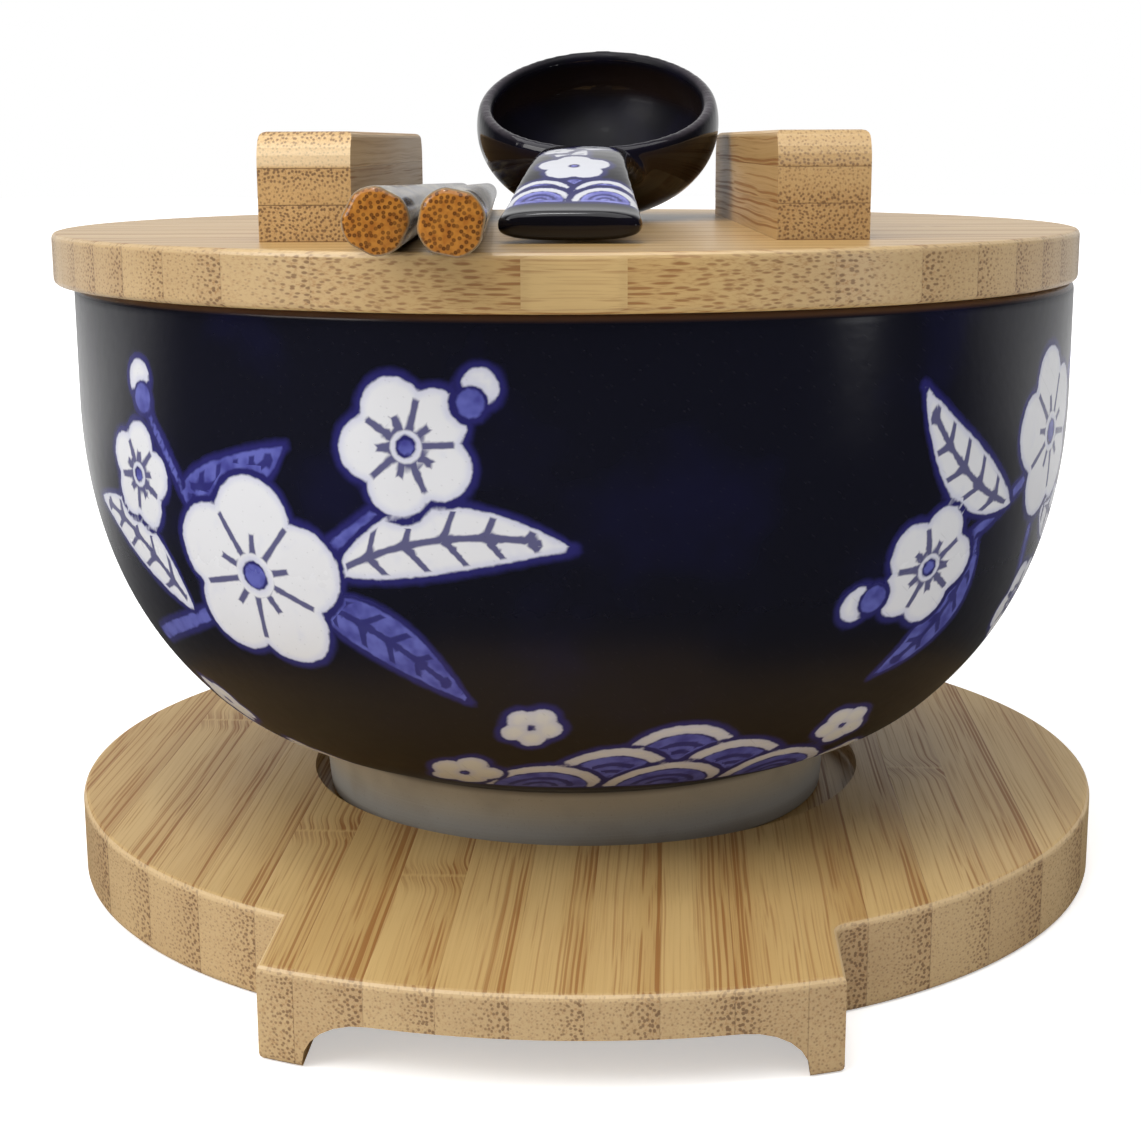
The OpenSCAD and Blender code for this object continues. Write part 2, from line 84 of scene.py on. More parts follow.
class Value(Signal):
    """A number in a shader. Arithmetic on it adds Math nodes."""

    __add__, __radd__ = math_methods("ADD")
    __sub__, __rsub__ = math_methods("SUBTRACT")
    __mul__, __rmul__ = math_methods("MULTIPLY")
    __truediv__, __rtruediv__ = math_methods("DIVIDE")
    least = math_methods("MINIMUM")[0]
    most = math_methods("MAXIMUM")[0]
    below = math_methods("LESS_THAN")[0]

    def __abs__(self) -> "Value":
        """Size without the sign."""
        return self.tree.math("ABSOLUTE", self)

    def floor(self) -> "Value":
        """Next whole number below."""
        return self.tree.math("FLOOR", self)

    def rise(self, low: Number, high: Number) -> "Value":
        """Smooth step, from 0 at low to 1 at high."""
        return self.tree.value(
            "ShaderNodeMapRange", {"Value": self, "From Min": low, "From Max": high}, "Result",
            interpolation_type="SMOOTHSTEP", clamp=True,
        )

    def fall(self, low: Number, high: Number) -> "Value":
        """Smooth step downwards, from 1 at low to 0 at high."""
        return 1 - self.rise(low, high)

    def clamp(self) -> "Value":
        """Kept between 0 and 1."""
        return self.most(0.0).least(1.0)


class Tint(Signal):
    """A colour or a vector in a shader."""

    def parts(self) -> Tuple[Value, Value, Value]:
        """The three numbers of the vector."""
        made = self.tree.node("ShaderNodeSeparateXYZ", {0: self})
        return tuple(Value(self.tree, part) for part in made.outputs)


Link = Union[Number, Tint, Sequence[float]]
Inputs = Dict[Union[str, int], Link]


class Tree:
    """The node tree of a material or of the world."""

    def __init__(self, name: str, world: bool = False) -> None:
        """Starts an empty tree for the material, or the world, of that name."""
        self.owner = bpy.data.worlds.new(name) if world else bpy.data.materials.new(name)
        self.owner.use_nodes = True
        self.nodes = self.owner.node_tree.nodes
        self.links = self.owner.node_tree.links
        self.nodes.clear()
        self.output = self.nodes.new("ShaderNodeOutputWorld" if world else "ShaderNodeOutputMaterial")

    def node(self, kind: str, inputs: Inputs, **settings: Any) -> Node:
        """Adds a node.

        Args:
            kind: the node's type.
            inputs: socket name or number, and the number, colour or link for it.
            settings: the node's own settings.

        Returns:
            The node.
        """
        made = self.nodes.new(kind)
        for key, value in settings.items():
            setattr(made, key, value)
        for key, value in inputs.items():
            self.feed(made.inputs[key], value)
        return made

    def value(self, kind: str, inputs: Inputs, output: Union[str, int] = 0, **settings: Any) -> Value:
        """Adds a node and gives an output of it as a number."""
        return Value(self, self.node(kind, inputs, **settings).outputs[output])

    def tint(self, kind: str, inputs: Inputs, output: Union[str, int] = 0, **settings: Any) -> Tint:
        """Adds a node and gives an output of it as a colour or a vector."""
        return Tint(self, self.node(kind, inputs, **settings).outputs[output])

    def feed(self, socket: NodeSocket, value: Link) -> None:
        """Links a value to a socket, or sets the socket's own number or colour."""
        if isinstance(value, Signal):
            self.links.new(value.socket, socket)
        elif isinstance(value, (int, float)):
            socket.default_value = value
        else:
            wanted = len(socket.default_value)
            socket.default_value = tuple(value) + (1.0,) * (wanted - len(value))

    def math(self, operation: str, *terms: Number) -> Value:
        """Adds a Math node."""
        return self.value("ShaderNodeMath", dict(enumerate(terms)), operation=operation)

    def mix(self, factor: Number, first: Link, second: Link) -> Tint:
        """A colour from first, at factor 0, to second, at factor 1."""
        inputs = {0: factor, 6: first, 7: second}
        return self.tint("ShaderNodeMix", inputs, 2, data_type="RGBA", clamp_factor=True)

    def coats(self, base: Link, *coats: Tuple[Number, Link]) -> Link:
        """A colour with others laid over it in turn, each by its own share."""
        for share, tint in coats:
            base = self.mix(share, base, tint)
        return base

    def vector(self, x: Number, y: Number, z: Number) -> Tint:
        """A vector from three numbers."""
        return self.tint("ShaderNodeCombineXYZ", {0: x, 1: y, 2: z})

    def local(self, origin: Sequence[float] = (0, 0, 0), turn: Euler = Euler()) -> Tuple[Value, Value, Value]:
        """Coordinates in millimetres in a frame of the piece's own.

        Args:
            origin: the frame's origin in the row frame, in millimetres.
            turn: the frame's turn in the row frame.

        Returns:
            The three coordinates.
        """
        back = turn.to_matrix().transposed()
        inputs = {
            "Vector": self.tint("ShaderNodeTexCoord", {}, "Object"),
            "Location": tuple(-(back @ Vector(origin))),
            "Rotation": tuple(back.to_euler()),
            "Scale": (1 / MM, 1 / MM, 1 / MM),
        }
        return self.tint("ShaderNodeMapping", inputs, vector_type="POINT").parts()

    def noise(self, place: Tint, scale: float = 1.0, detail: float = 2.0, rough: float = 0.5) -> Value:
        """Soft noise from 0 to 1."""
        inputs = {"Vector": place, "Scale": scale, "Detail": detail, "Roughness": rough}
        return self.value("ShaderNodeTexNoise", inputs)

    def chance(self, number: Number) -> Tuple[Value, Value, Value]:
        """Three random numbers that belong to a whole number."""
        return self.tint("ShaderNodeTexWhiteNoise", {"W": number}, "Color", noise_dimensions="1D").parts()

    def cells(self, x: Number, y: Number, randomness: float) -> Tuple[Value, Value]:
        """Points scattered one unit apart: the distance to the next one, and a random number of it."""
        inputs = {"Vector": self.vector(x, y, 0.0), "Scale": 1.0, "Randomness": randomness}
        made = self.node("ShaderNodeTexVoronoi", inputs, voronoi_dimensions="2D", feature="F1")
        return Value(self, made.outputs["Distance"]), Tint(self, made.outputs["Color"]).parts()[0]

    def attribute(self, name: str) -> Value:
        """A number that the mesh carries at its vertices."""
        return self.value("ShaderNodeAttribute", {}, "Fac", attribute_type="GEOMETRY", attribute_name=name)

    def painting(self, shake: Value, half: float, line_shake: float) -> Tuple[Value, Value, Value, Value]:
        """What is painted, as distances in millimetres that are less than 0 inside.

        Args:
            shake: how far the brush strays.
            half: half the width of the fine lines.
            line_shake: the share of the shake that the fine lines have.

        Returns:
            The distances to the white, to the wash, to the nearer of the two and to the fine lines.
        """
        white, wash = (self.attribute(key) + shake for key in ("white", "wash"))
        line = abs(self.attribute("vein")) - half + shake * line_shake
        return white, wash, white.least(wash), line.most(self.attribute("bound") * 0.7)

    def facing(self) -> Tuple[Value, Value, Value]:
        """The direction that the surface faces."""
        return self.tint("ShaderNodeNewGeometry", {}, "Normal").parts()

    def bump(self, height: Number, depth: float, strength: float) -> Tint:
        """A normal from a height of 0 to 1, a step's depth in millimetres and the share of it that shows."""
        return self.tint("ShaderNodeBump", {"Height": height, "Distance": depth * MM, "Strength": strength})

    def surface(self, inputs: Inputs) -> Material:
        """Ends the tree with a Principled shader and gives the material."""
        made = self.node("ShaderNodeBsdfPrincipled", inputs)
        self.links.new(made.outputs[0], self.output.inputs["Surface"])
        return self.owner


def turned(degrees: float) -> Euler:
    """A turn about the upright axis."""
    return Euler((0, 0, math.radians(degrees)))


class Layers(Enum):
    """Which way the strips of a bamboo piece are stacked."""

    ACROSS = "staves side by side"
    UP = "plies on each other"


@dataclass(frozen=True)
class Bamboo:
    """Glued bamboo: strips whose fibres run one way, with vessels that show as dots on the end grain.

    Lengths are in millimetres. The strips are counted from 0 at the phase. Strip 0 is at least as dense as
    first_dense, and those before it have no dense side. Dense_last is the share with that side last.
    """

    name: str
    origin: Triple
    turn: float
    strip: float
    phase: float
    seed: float
    layers: Layers = Layers.ACROSS
    top: float = 0.0
    ease: float = 0.9
    dense_last: float = 0.93
    first_dense: float = 0.0
    density: float = 0.08
    spacing: float = 0.70
    pore: Pair = (0.18, 0.15)
    knuckles: Tuple[Pair, ...] = ()
    # Strength of the painted highlight on the top ply's end grain.
    highlight_share: float = 0.0
    joint: float = 0.10
    sheen: float = 0.0
    roughness: float = 0.42
    pale: Rgb = (0.60, 0.405, 0.165)
    tan: Rgb = (0.455, 0.270, 0.090)
    cut: Rgb = (0.545, 0.380, 0.190)
    cut_tan: Rgb = (0.400, 0.255, 0.120)
    streak: Rgb = (0.300, 0.125, 0.028)
    dot: Rgb = (0.175, 0.088, 0.036)
    glue: Rgb = (0.16, 0.085, 0.035)
    # Colour of the pale eased top edges: partly wear, partly a painted highlight.
    edge_wear_and_highlight: Rgb = (0.74, 0.56, 0.33)
    # Colour of the painted highlight on the top ply's end grain.
    painted_highlight: Rgb = (0.92, 0.76, 0.52)

    def knots(self, t: Tree, number: Value, along: Value) -> Tuple[Number, Number, Number]:
        """The marks that the cane's knuckles leave.

        Args:
            t: the material's tree.
            number: the strip's number.
            along: the place along the fibres.

        Returns:
            The nearness of a knuckle, the sideways bend of the fibres there, and its pale line.
        """
        near: Number = 0.0
        bend: Number = 0.0
        band: Number = 0.0
        for strip, place in self.knuckles:
            here = abs(number - strip).below(0.5)
            off = along - place
            close = here * abs(off).fall(0.0, 9.0)
            near = close + near
            bend = close * close * (off.below(0.0) * 2 - 1) * 1.3 + bend
            band = here * abs(off).fall(0.2, 0.9) + band
        return near, bend, band

    def build(self) -> Material:
        """Builds the material."""
        t = Tree(self.name)
        turn = turned(self.turn)
        across, along, up = t.local(self.origin, turn)
        east, north, upward = t.facing()
        end = abs(north * math.cos(turn.z) - east * math.sin(turn.z)).rise(0.10, 0.50)
        cell = ((across if self.layers is Layers.ACROSS else up) - self.phase) / self.strip
        number = cell.floor()
        share = cell - number
        one, two, three = t.chance(number + self.seed)
        kept = one.below(self.dense_last)
        side = share * kept + (1 - share) * (1 - kept)
        dense = (side.rise(0.30, 1.10) + (two - 0.5) * 0.30 + self.density).clamp()
        dense = dense.most(abs(number).below(0.5) * self.first_dense) * number.rise(-0.9, -0.1)

        def slow(width: float, length: float, shift: float, start: float = 0.0, detail: float = 1.0) -> Value:
            """Noise drawn out along the fibres, another one in each strip."""
            place = t.vector(across / width, along / length + start, up / width + number * shift)
            return t.noise(place, 1.0, detail)

        near, bend, band = self.knots(t, number, along)
        x = across + (slow(5, 34, 3.1) - 0.5) * 0.8 + bend
        y = up + (slow(7, 42, 5.7, 19.0) - 0.5) * 1.5
        far, luck = t.cells(x / self.spacing, y / self.spacing + number * 13.7, 0.85)
        size = self.pore[0] + dense * self.pore[1]
        vessel = far.fall(size - 0.10, size + 0.10) * luck.below(0.62 + dense * 0.42 + end * 0.22)
        fibre = t.noise(t.vector(x / 0.30, along / 60, y / 0.30), 1.0, 3.0, 0.6)
        mottle = slow(9, 60, 2.9, detail=2.0)
        brown = (dense * (0.50 - end * 0.25) + (two - 0.5) * 0.35 + (mottle - 0.45) * 0.8 + 0.10).clamp()
        mark = vessel * (0.44 + dense * 0.50 + near * 0.3).clamp() * (0.95 - end * 0.05)
        seam = (share.least(1 - share) * self.strip).fall(0.02, 0.14)
        # Pale band on the eased top edges: partly wear, partly a painted highlight where the rounded edge
        # catches the light.
        edge_wear_and_highlight = up.rise(self.top - self.ease - 0.3, self.top - self.ease * 0.4) * abs(upward).fall(0.80, 0.97)
        # Painted highlight: a pale band on the top ply's end, below its rounded edge, where the key light
        # catches it; highlight_share sets its strength.
        painted_highlight = up.rise(self.top - self.strip, self.top - self.strip * 0.9)
        painted_highlight = painted_highlight * up.fall(self.top - 3.0, self.top - 0.8)
        tint = t.coats(
            t.mix(end, t.mix(brown, self.pale, self.tan), t.mix(brown, self.cut, self.cut_tan)),
            (fibre.rise(0.44, 0.76) * (0.38 + dense * 0.35), self.streak),
            (mark, t.mix(end, self.streak, self.dot)),
            (near * fibre.rise(0.40, 0.60) * 0.50, self.streak),
            (band * 0.55, self.pale),
            (seam * (self.joint + three * 0.40) * (0.30 + end * 0.70), self.glue),
            (edge_wear_and_highlight * 0.35, self.edge_wear_and_highlight),
            (painted_highlight * end * self.highlight_share, self.painted_highlight),
        )
        return t.surface({
            "Base Color": tint,
            "Roughness": (self.roughness + (fibre - 0.5) * 0.20 + vessel * 0.12 - edge_wear_and_highlight * 0.05).clamp(),
            "Normal": t.bump(fibre * 0.35 - vessel * 0.6 - seam * 0.6, 0.05, 0.5),
            "Specular IOR Level": 0.5,
            "Coat Weight": self.sheen,
            "Coat Roughness": 0.22,
        })


@dataclass(frozen=True)
class Glaze:
    """Near-black glaze over white and cobalt painting that the mesh carries as distances in millimetres."""

    name: str
    foot_z: float
    rim_z: float
    night: Rgb = (0.0050, 0.0052, 0.0110)
    cloud: Rgb = (0.006, 0.006, 0.030)
    earth: Rgb = (0.0110, 0.0070, 0.0050)
    cobalt: Rgb = (0.019, 0.017, 0.125)
    wash: Rgb = (0.105, 0.115, 0.400)
    deep_wash: Rgb = (0.045, 0.045, 0.235)
    white: Rgb = (0.66, 0.66, 0.68)
    cream: Rgb = (0.55, 0.52, 0.44)
    tinged: Rgb = (0.35, 0.37, 0.60)
    rust: Rgb = (0.105, 0.050, 0.026)
    skirt: Rgb = (0.085, 0.082, 0.078)
    speck: Rgb = (0.05, 0.045, 0.05)

    def build(self) -> Material:
        """Builds the material."""
        t = Tree(self.name)
        x, y, z = t.local()
        place = t.vector(x, y, z)
        shake = (t.noise(place, 0.9) - 0.5) * 0.45 + (t.noise(place, 0.28, 1.0) - 0.5) * 0.5
        white, wash, halo, line = t.painting(shake, 0.40, 0.35)
        low = z.fall(self.foot_z + 6, self.foot_z + 34)
        pool = t.noise(place, 0.33)
        thin = white.rise(-1.4, -0.1) * 0.35 + pool.rise(0.55, 0.8) * 0.12
        speck = t.cells((x + z * 0.7) / 2.6, y / 2.6 + z / 2.1, 1.0)[0].fall(0.03, 0.07)
        tint = t.coats(
            self.night,
            (low, self.earth),
            (t.noise(place, 0.045, 3.0).rise(0.50, 0.72) * (1 - low) * 0.55, self.cloud),
            (halo.fall(0.35, 1.5) * 0.92, self.cobalt),
            (wash.fall(-0.25, 0.20), t.mix(pool.rise(0.35, 0.75), self.wash, self.deep_wash)),
            (white.fall(-0.30, 0.15), t.coats(self.white, (low, self.cream), (thin, self.tinged))),
            (line.fall(-0.12, 0.18) * halo.fall(0.6, 1.2) * 0.88, self.cobalt),
            (z.rise(self.rim_z - 1.3, self.rim_z - 0.5) * 0.85, self.rust),
            (z.fall(self.foot_z + 0.4, self.foot_z + 3.2) * 0.75, self.skirt),
            (speck * 0.12, self.speck),
        )
        peel = t.noise(place, 0.55)
        dull = z.fall(self.foot_z + 14, self.foot_z + 46)
        return t.surface({
            "Base Color": tint,
            "Roughness": (0.20 + (peel - 0.5) * 0.06 + dull * 0.30 + halo.fall(0.0, 1.0) * 0.04).clamp(),
            "Normal": t.bump(peel * 0.6 + white.fall(-0.5, 0.6) * 0.5, 0.12, 0.22),
            "Specular IOR Level": 0.27,
        })


@dataclass(frozen=True)
class Clay:
    """Bare fired clay of the foot, warm grey above and cooler below, with fine grit and a painted shadow
    under the glaze's edge.
    """

    name: str
    base_z: float
    foot_z: float
    warm: Rgb = (0.460, 0.390, 0.280)
    cool: Rgb = (0.370, 0.350, 0.315)
    stain: Rgb = (0.270, 0.225, 0.160)
    grit: Rgb = (0.16, 0.130, 0.095)
    ring: Rgb = (0.47, 0.43, 0.35)
    glaze_edge_shadow: Rgb = (0.045, 0.038, 0.032)

    def build(self) -> Material:
        """Builds the material."""
        t = Tree(self.name)
        x, y, z = t.local()
        place = t.vector(x, y, z)
        grit = t.noise(place, 2.4, 3.0, 0.7)
        ring = t.noise(t.vector(z * 2.2, 0.0, 0.0))
        # A dark, glossier band at the top of the foot: painted shadow in the gap under the glaze's edge.
        glaze_edge_shadow = z.rise(self.foot_z - 1.4, self.foot_z - 0.2)
        tint = t.coats(
            self.cool,
            (z.rise(self.base_z + 3, self.foot_z - 2), self.warm),
            (t.noise(place, 0.09).rise(0.45, 0.75) * 0.45, self.stain),
            (grit.rise(0.60, 0.74) * 0.30, self.grit),
            (ring.rise(0.50, 0.70) * 0.25, self.ring),
            (glaze_edge_shadow * 0.65, self.glaze_edge_shadow),
        )
        return t.surface({
            "Base Color": tint,
            "Roughness": (0.72 - glaze_edge_shadow * 0.3).clamp(),
            "Normal": t.bump(grit * 0.5 + ring * 0.5, 0.10, 0.5),
        })


@dataclass(frozen=True)
class SpoonGlaze:
    """Black glaze of the spoon: it thins to grey violet on the opening's edge, and the handle is painted."""

    name: str
    origin: Triple
    turn: float
    tilt: float
    opening: Pair
    black: Rgb = (0.0050, 0.0045, 0.0075)
    cloud: Rgb = (0.007, 0.006, 0.016)
    earth: Rgb = (0.014, 0.008, 0.005)
    violet: Rgb = (0.110, 0.095, 0.110)
    cobalt: Rgb = (0.018, 0.018, 0.125)
    wash: Rgb = (0.23, 0.24, 0.62)
    deep_wash: Rgb = (0.09, 0.09, 0.38)
    white: Rgb = (0.62, 0.63, 0.68)

    def build(self) -> Material:
        """Builds the material."""
        t = Tree(self.name)
        turn = turned(self.turn)
        middle = Vector(self.origin) + turn.to_matrix() @ Vector((0, *self.opening))
        tilted = (turn.to_matrix() @ Euler((math.radians(self.tilt), 0, 0)).to_matrix()).to_euler()
        across, ahead, height = t.local(tuple(middle), tilted)
        place = t.vector(*t.local(self.origin, turn))
        upward = t.facing()[2]
        under = height.fall(-3.0, -1.2) * upward.fall(-0.10, 0.25)
        edge = height.rise(-0.9, -0.2) * ahead.rise(-34.0, -27.0)
        edge = edge * (0.15 + abs(across).rise(9.0, 20.0) * 0.85)
        white, wash, halo, line = t.painting((t.noise(place, 1.1) - 0.5) * 0.40, 0.22, 0.3)
        tint = t.coats(
            self.black,
            (t.noise(place, 0.12).rise(0.4, 0.7) * 0.5, self.cloud),
            (under * 0.8, self.earth),
            (edge * (0.20 + t.noise(place, 0.5, 3.0) * 0.5), self.violet),
            (halo.fall(0.2, 1.2) * 0.9, self.cobalt),
            (wash.fall(-0.2, 0.15), t.mix(t.noise(place, 0.45).rise(0.35, 0.75), self.wash, self.deep_wash)),
            (white.fall(-0.25, 0.12), self.white),
            (line.fall(-0.15, 0.2) * halo.fall(0.3, 0.8) * 0.9, self.cobalt),
        )
        peel = t.noise(place, 0.6)
        reach = (across * across / 20.0 ** 2 + ahead * ahead / 24.0 ** 2).fall(0.85, 1.0)
        inside = reach * upward.rise(-0.1, 0.2)
        return t.surface({
            "Base Color": tint,
            "Roughness": (0.12 + (peel - 0.5) * 0.05 + inside * 0.30).clamp(),
            "Normal": t.bump(peel, 0.06, 0.2),
            "Specular IOR Level": 0.12,
            "Coat Weight": 0.50 - inside * 0.49,
            "Coat Roughness": 0.06,
        })


@dataclass(frozen=True)
class StickCoat:
    """Chopstick: end grain under clear lacquer at the butt, and a grey-white coat along the sides."""

    name: str
    origin: Triple
    turn: float
    length: float
    seed: float
    cream: Rgb = (0.38, 0.33, 0.24)
    dun: Rgb = (0.19, 0.155, 0.115)
    slate: Rgb = (0.090, 0.090, 0.135)
    umber: Rgb = (0.050, 0.030, 0.016)
    thread: Rgb = (0.085, 0.055, 0.032)
    tip: Rgb = (0.030, 0.018, 0.012)
    wood: Rgb = (0.45, 0.185, 0.030)
    wood_dark: Rgb = (0.31, 0.108, 0.017)
    pore: Rgb = (0.070, 0.022, 0.007)
    pore_middle: Rgb = (0.30, 0.13, 0.04)
    ring: Rgb = (0.26, 0.17, 0.085)

    def build(self) -> Material:
        """Builds the material."""
        t = Tree(self.name)
        across, along, up = t.local(self.origin, turned(self.turn))
        place = t.vector(across + self.seed, along, up)
        blotch = t.noise(t.vector(across / 2.6 + self.seed, along / 9.0, up / 2.6), 1.0, 3.0, 0.6)
        thread = t.noise(t.vector(across / 0.9, along / 11, up / 0.9 + 40.0))
        far, luck = t.cells(across / 0.70 + self.seed, up / 0.70, 0.80)
        grain = t.noise(t.vector(across / 1.1, 0.0, up / 1.1))
        wood = t.coats(
            self.wood,
            (grain.rise(0.3, 0.75), self.wood_dark),
            (far.fall(0.27, 0.43) * (0.60 + luck * 0.40) * 0.88, self.pore),
            (far.fall(0.05, 0.13) * 0.20, self.pore_middle),
            (t.attribute("core").rise(0.91, 0.97), self.ring),
        )
        end = along.fall(0.75, 0.95)
        tint = t.coats(
            self.cream,
            (blotch.rise(0.40, 0.47), self.dun),
            (blotch.rise(0.50, 0.54) * 0.9, self.slate),
            (blotch.rise(0.57, 0.61) * 0.9, self.umber),
            (thread.rise(0.60, 0.66) * 0.5, self.thread),
            (along.rise(self.length * 0.72, self.length * 0.74), self.tip),
            (end, wood),
        )
        return t.surface({
            "Base Color": tint,
            "Roughness": (0.16 + grain * 0.06 - end * 0.05).clamp(),
            "Normal": t.bump(t.noise(place, 0.9), 0.08, 0.25),
            "Specular IOR Level": 0.28,
            "Coat Weight": 0.24,
            "Coat Roughness": 0.06,
        })


def add(name: str, data: bpy.types.ID) -> Object:
    """Adds an object to the scene."""
    made = bpy.data.objects.new(name, data)
    bpy.context.scene.collection.objects.link(made)
    return made


def in_order(bm: BMesh) -> None:
    """Sorts a mesh by place, because operators make its parts in an order that varies from run to run.

    Args:
        bm: the mesh, whose vertices and faces are sorted.
    """
    for parts, place in (
        (bm.verts, lambda vert: tuple(vert.co)),
        (bm.faces, lambda face: tuple(face.calc_center_median())),
    ):
        for index, part in enumerate(sorted(parts, key=place)):
            part.index = index
        parts.sort()


def mesh_from(bm: BMesh, name: str) -> Mesh:
    """Turns a bmesh into a mesh with its parts in a fixed order, and frees it."""
    in_order(bm)
    mesh = bpy.data.meshes.new(name)
    bm.to_mesh(mesh)
    bm.free()
    return mesh


def piece_from(bm: BMesh, name: str, body: str) -> Object:
    """Turns a bmesh into a smooth-shaded piece that rides on a body.

    Args:
        bm: the mesh, in metres in the row frame; it is freed.
        name: the piece's name.
        body: the CAD body that it rides on.

    Returns:
        The object.
    """
    mesh = mesh_from(bm, name)
    mesh.polygons.foreach_set("use_smooth", [True] * len(mesh.polygons))
    made = add(name, mesh)
    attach(made, body)
    return made


def spin_shell(bm: BMesh, points: Sequence[Pair], steps: int) -> None:
    """Adds a shell: a half outline spun round the upright axis."""
    line = [bm.verts.new((r, 0.0, z)) for r, z in points]
    edges = [bm.edges.new(pair) for pair in zip(line, line[1:])]
    bmesh.ops.spin(
        bm, geom=line + edges, axis=(0, 0, 1), cent=(0, 0, 0), dvec=(0, 0, 0), angle=math.tau,
        steps=steps, use_merge=True, use_duplicate=False,
    )


def loft(bm: BMesh, sections: Sequence[Sequence[Triple]]) -> List[List[BMVert]]:
    """Adds a closed skin: the first section extruded from place to place.

    Args:
        bm: the mesh that it is added to.
        sections: the points of each section, equally many and in the same order.

    Returns:
        The vertices of each section.
    """
    ring = [bm.verts.new(point) for point in sections[0]]
    loop = [bm.edges.new((ring[i - 1], ring[i])) for i in range(len(ring))]
    bm.faces.new(ring)
    rings = [ring]
    for section in sections[1:]:
        made = bmesh.ops.extrude_edge_only(bm, edges=loop)["geom"]
        loop = [g for g in made if isinstance(g, BMEdge) and g.is_boundary]
        old = set(ring)
        copies = {}
        for v in (g for g in made if isinstance(g, BMVert)):
            copies[next(e.other_vert(v) for e in v.link_edges if e.other_vert(v) in old)] = v
        ring = [copies[v] for v in ring]
        for v, point in zip(ring, section):
            v.co = point
        rings.append(ring)
    bm.faces.new(ring)
    return rings


def vertex_rows(mesh: Mesh, key: str) -> np.ndarray:
    """A vector of each vertex, as rows."""
    values = np.zeros(len(mesh.vertices) * 3)
    mesh.vertices.foreach_get(key, values)
    return values.reshape(-1, 3)


def arc(centre: Pair, radius: float, start: float, end: float, steps: int) -> List[Pair]:
    """Points of an arc from one angle to another, in degrees."""
    return [step_from(centre, radius, start + (end - start) * i / steps) for i in range(steps + 1)]


def curve(points: Sequence[Pair], steps: int) -> List[Pair]:
    """Points of a cubic curve from its four control points."""
    made = []
    for i in range(steps + 1):
        t = i / steps
        shares = ((1 - t) ** 3, 3 * (1 - t) ** 2 * t, 3 * (1 - t) * t * t, t ** 3)
        made.append(tuple(sum(s * p[k] for s, p in zip(shares, points)) for k in range(2)))
    return made


def step_from(start: Pair, length: float, degrees: float) -> Pair:
    """The point at a distance from another, in a direction."""
    a = math.radians(degrees)
    return (start[0] + length * math.cos(a), start[1] + length * math.sin(a))


def run_of(line: np.ndarray) -> np.ndarray:
    """The length of a line up to each of its points."""
    return np.concatenate([[0.0], np.cumsum(np.hypot(*np.diff(line, axis=0).T))])


def even(points: Sequence[Pair], spacing: float) -> List[Pair]:
    """The same line with points at an even spacing."""
    line = np.array(points)
    run = run_of(line)
    at = np.linspace(0.0, run[-1], max(2, int(round(run[-1] / spacing)) + 1))
    return list(zip(np.interp(at, run, line[:, 0]), np.interp(at, run, line[:, 1])))


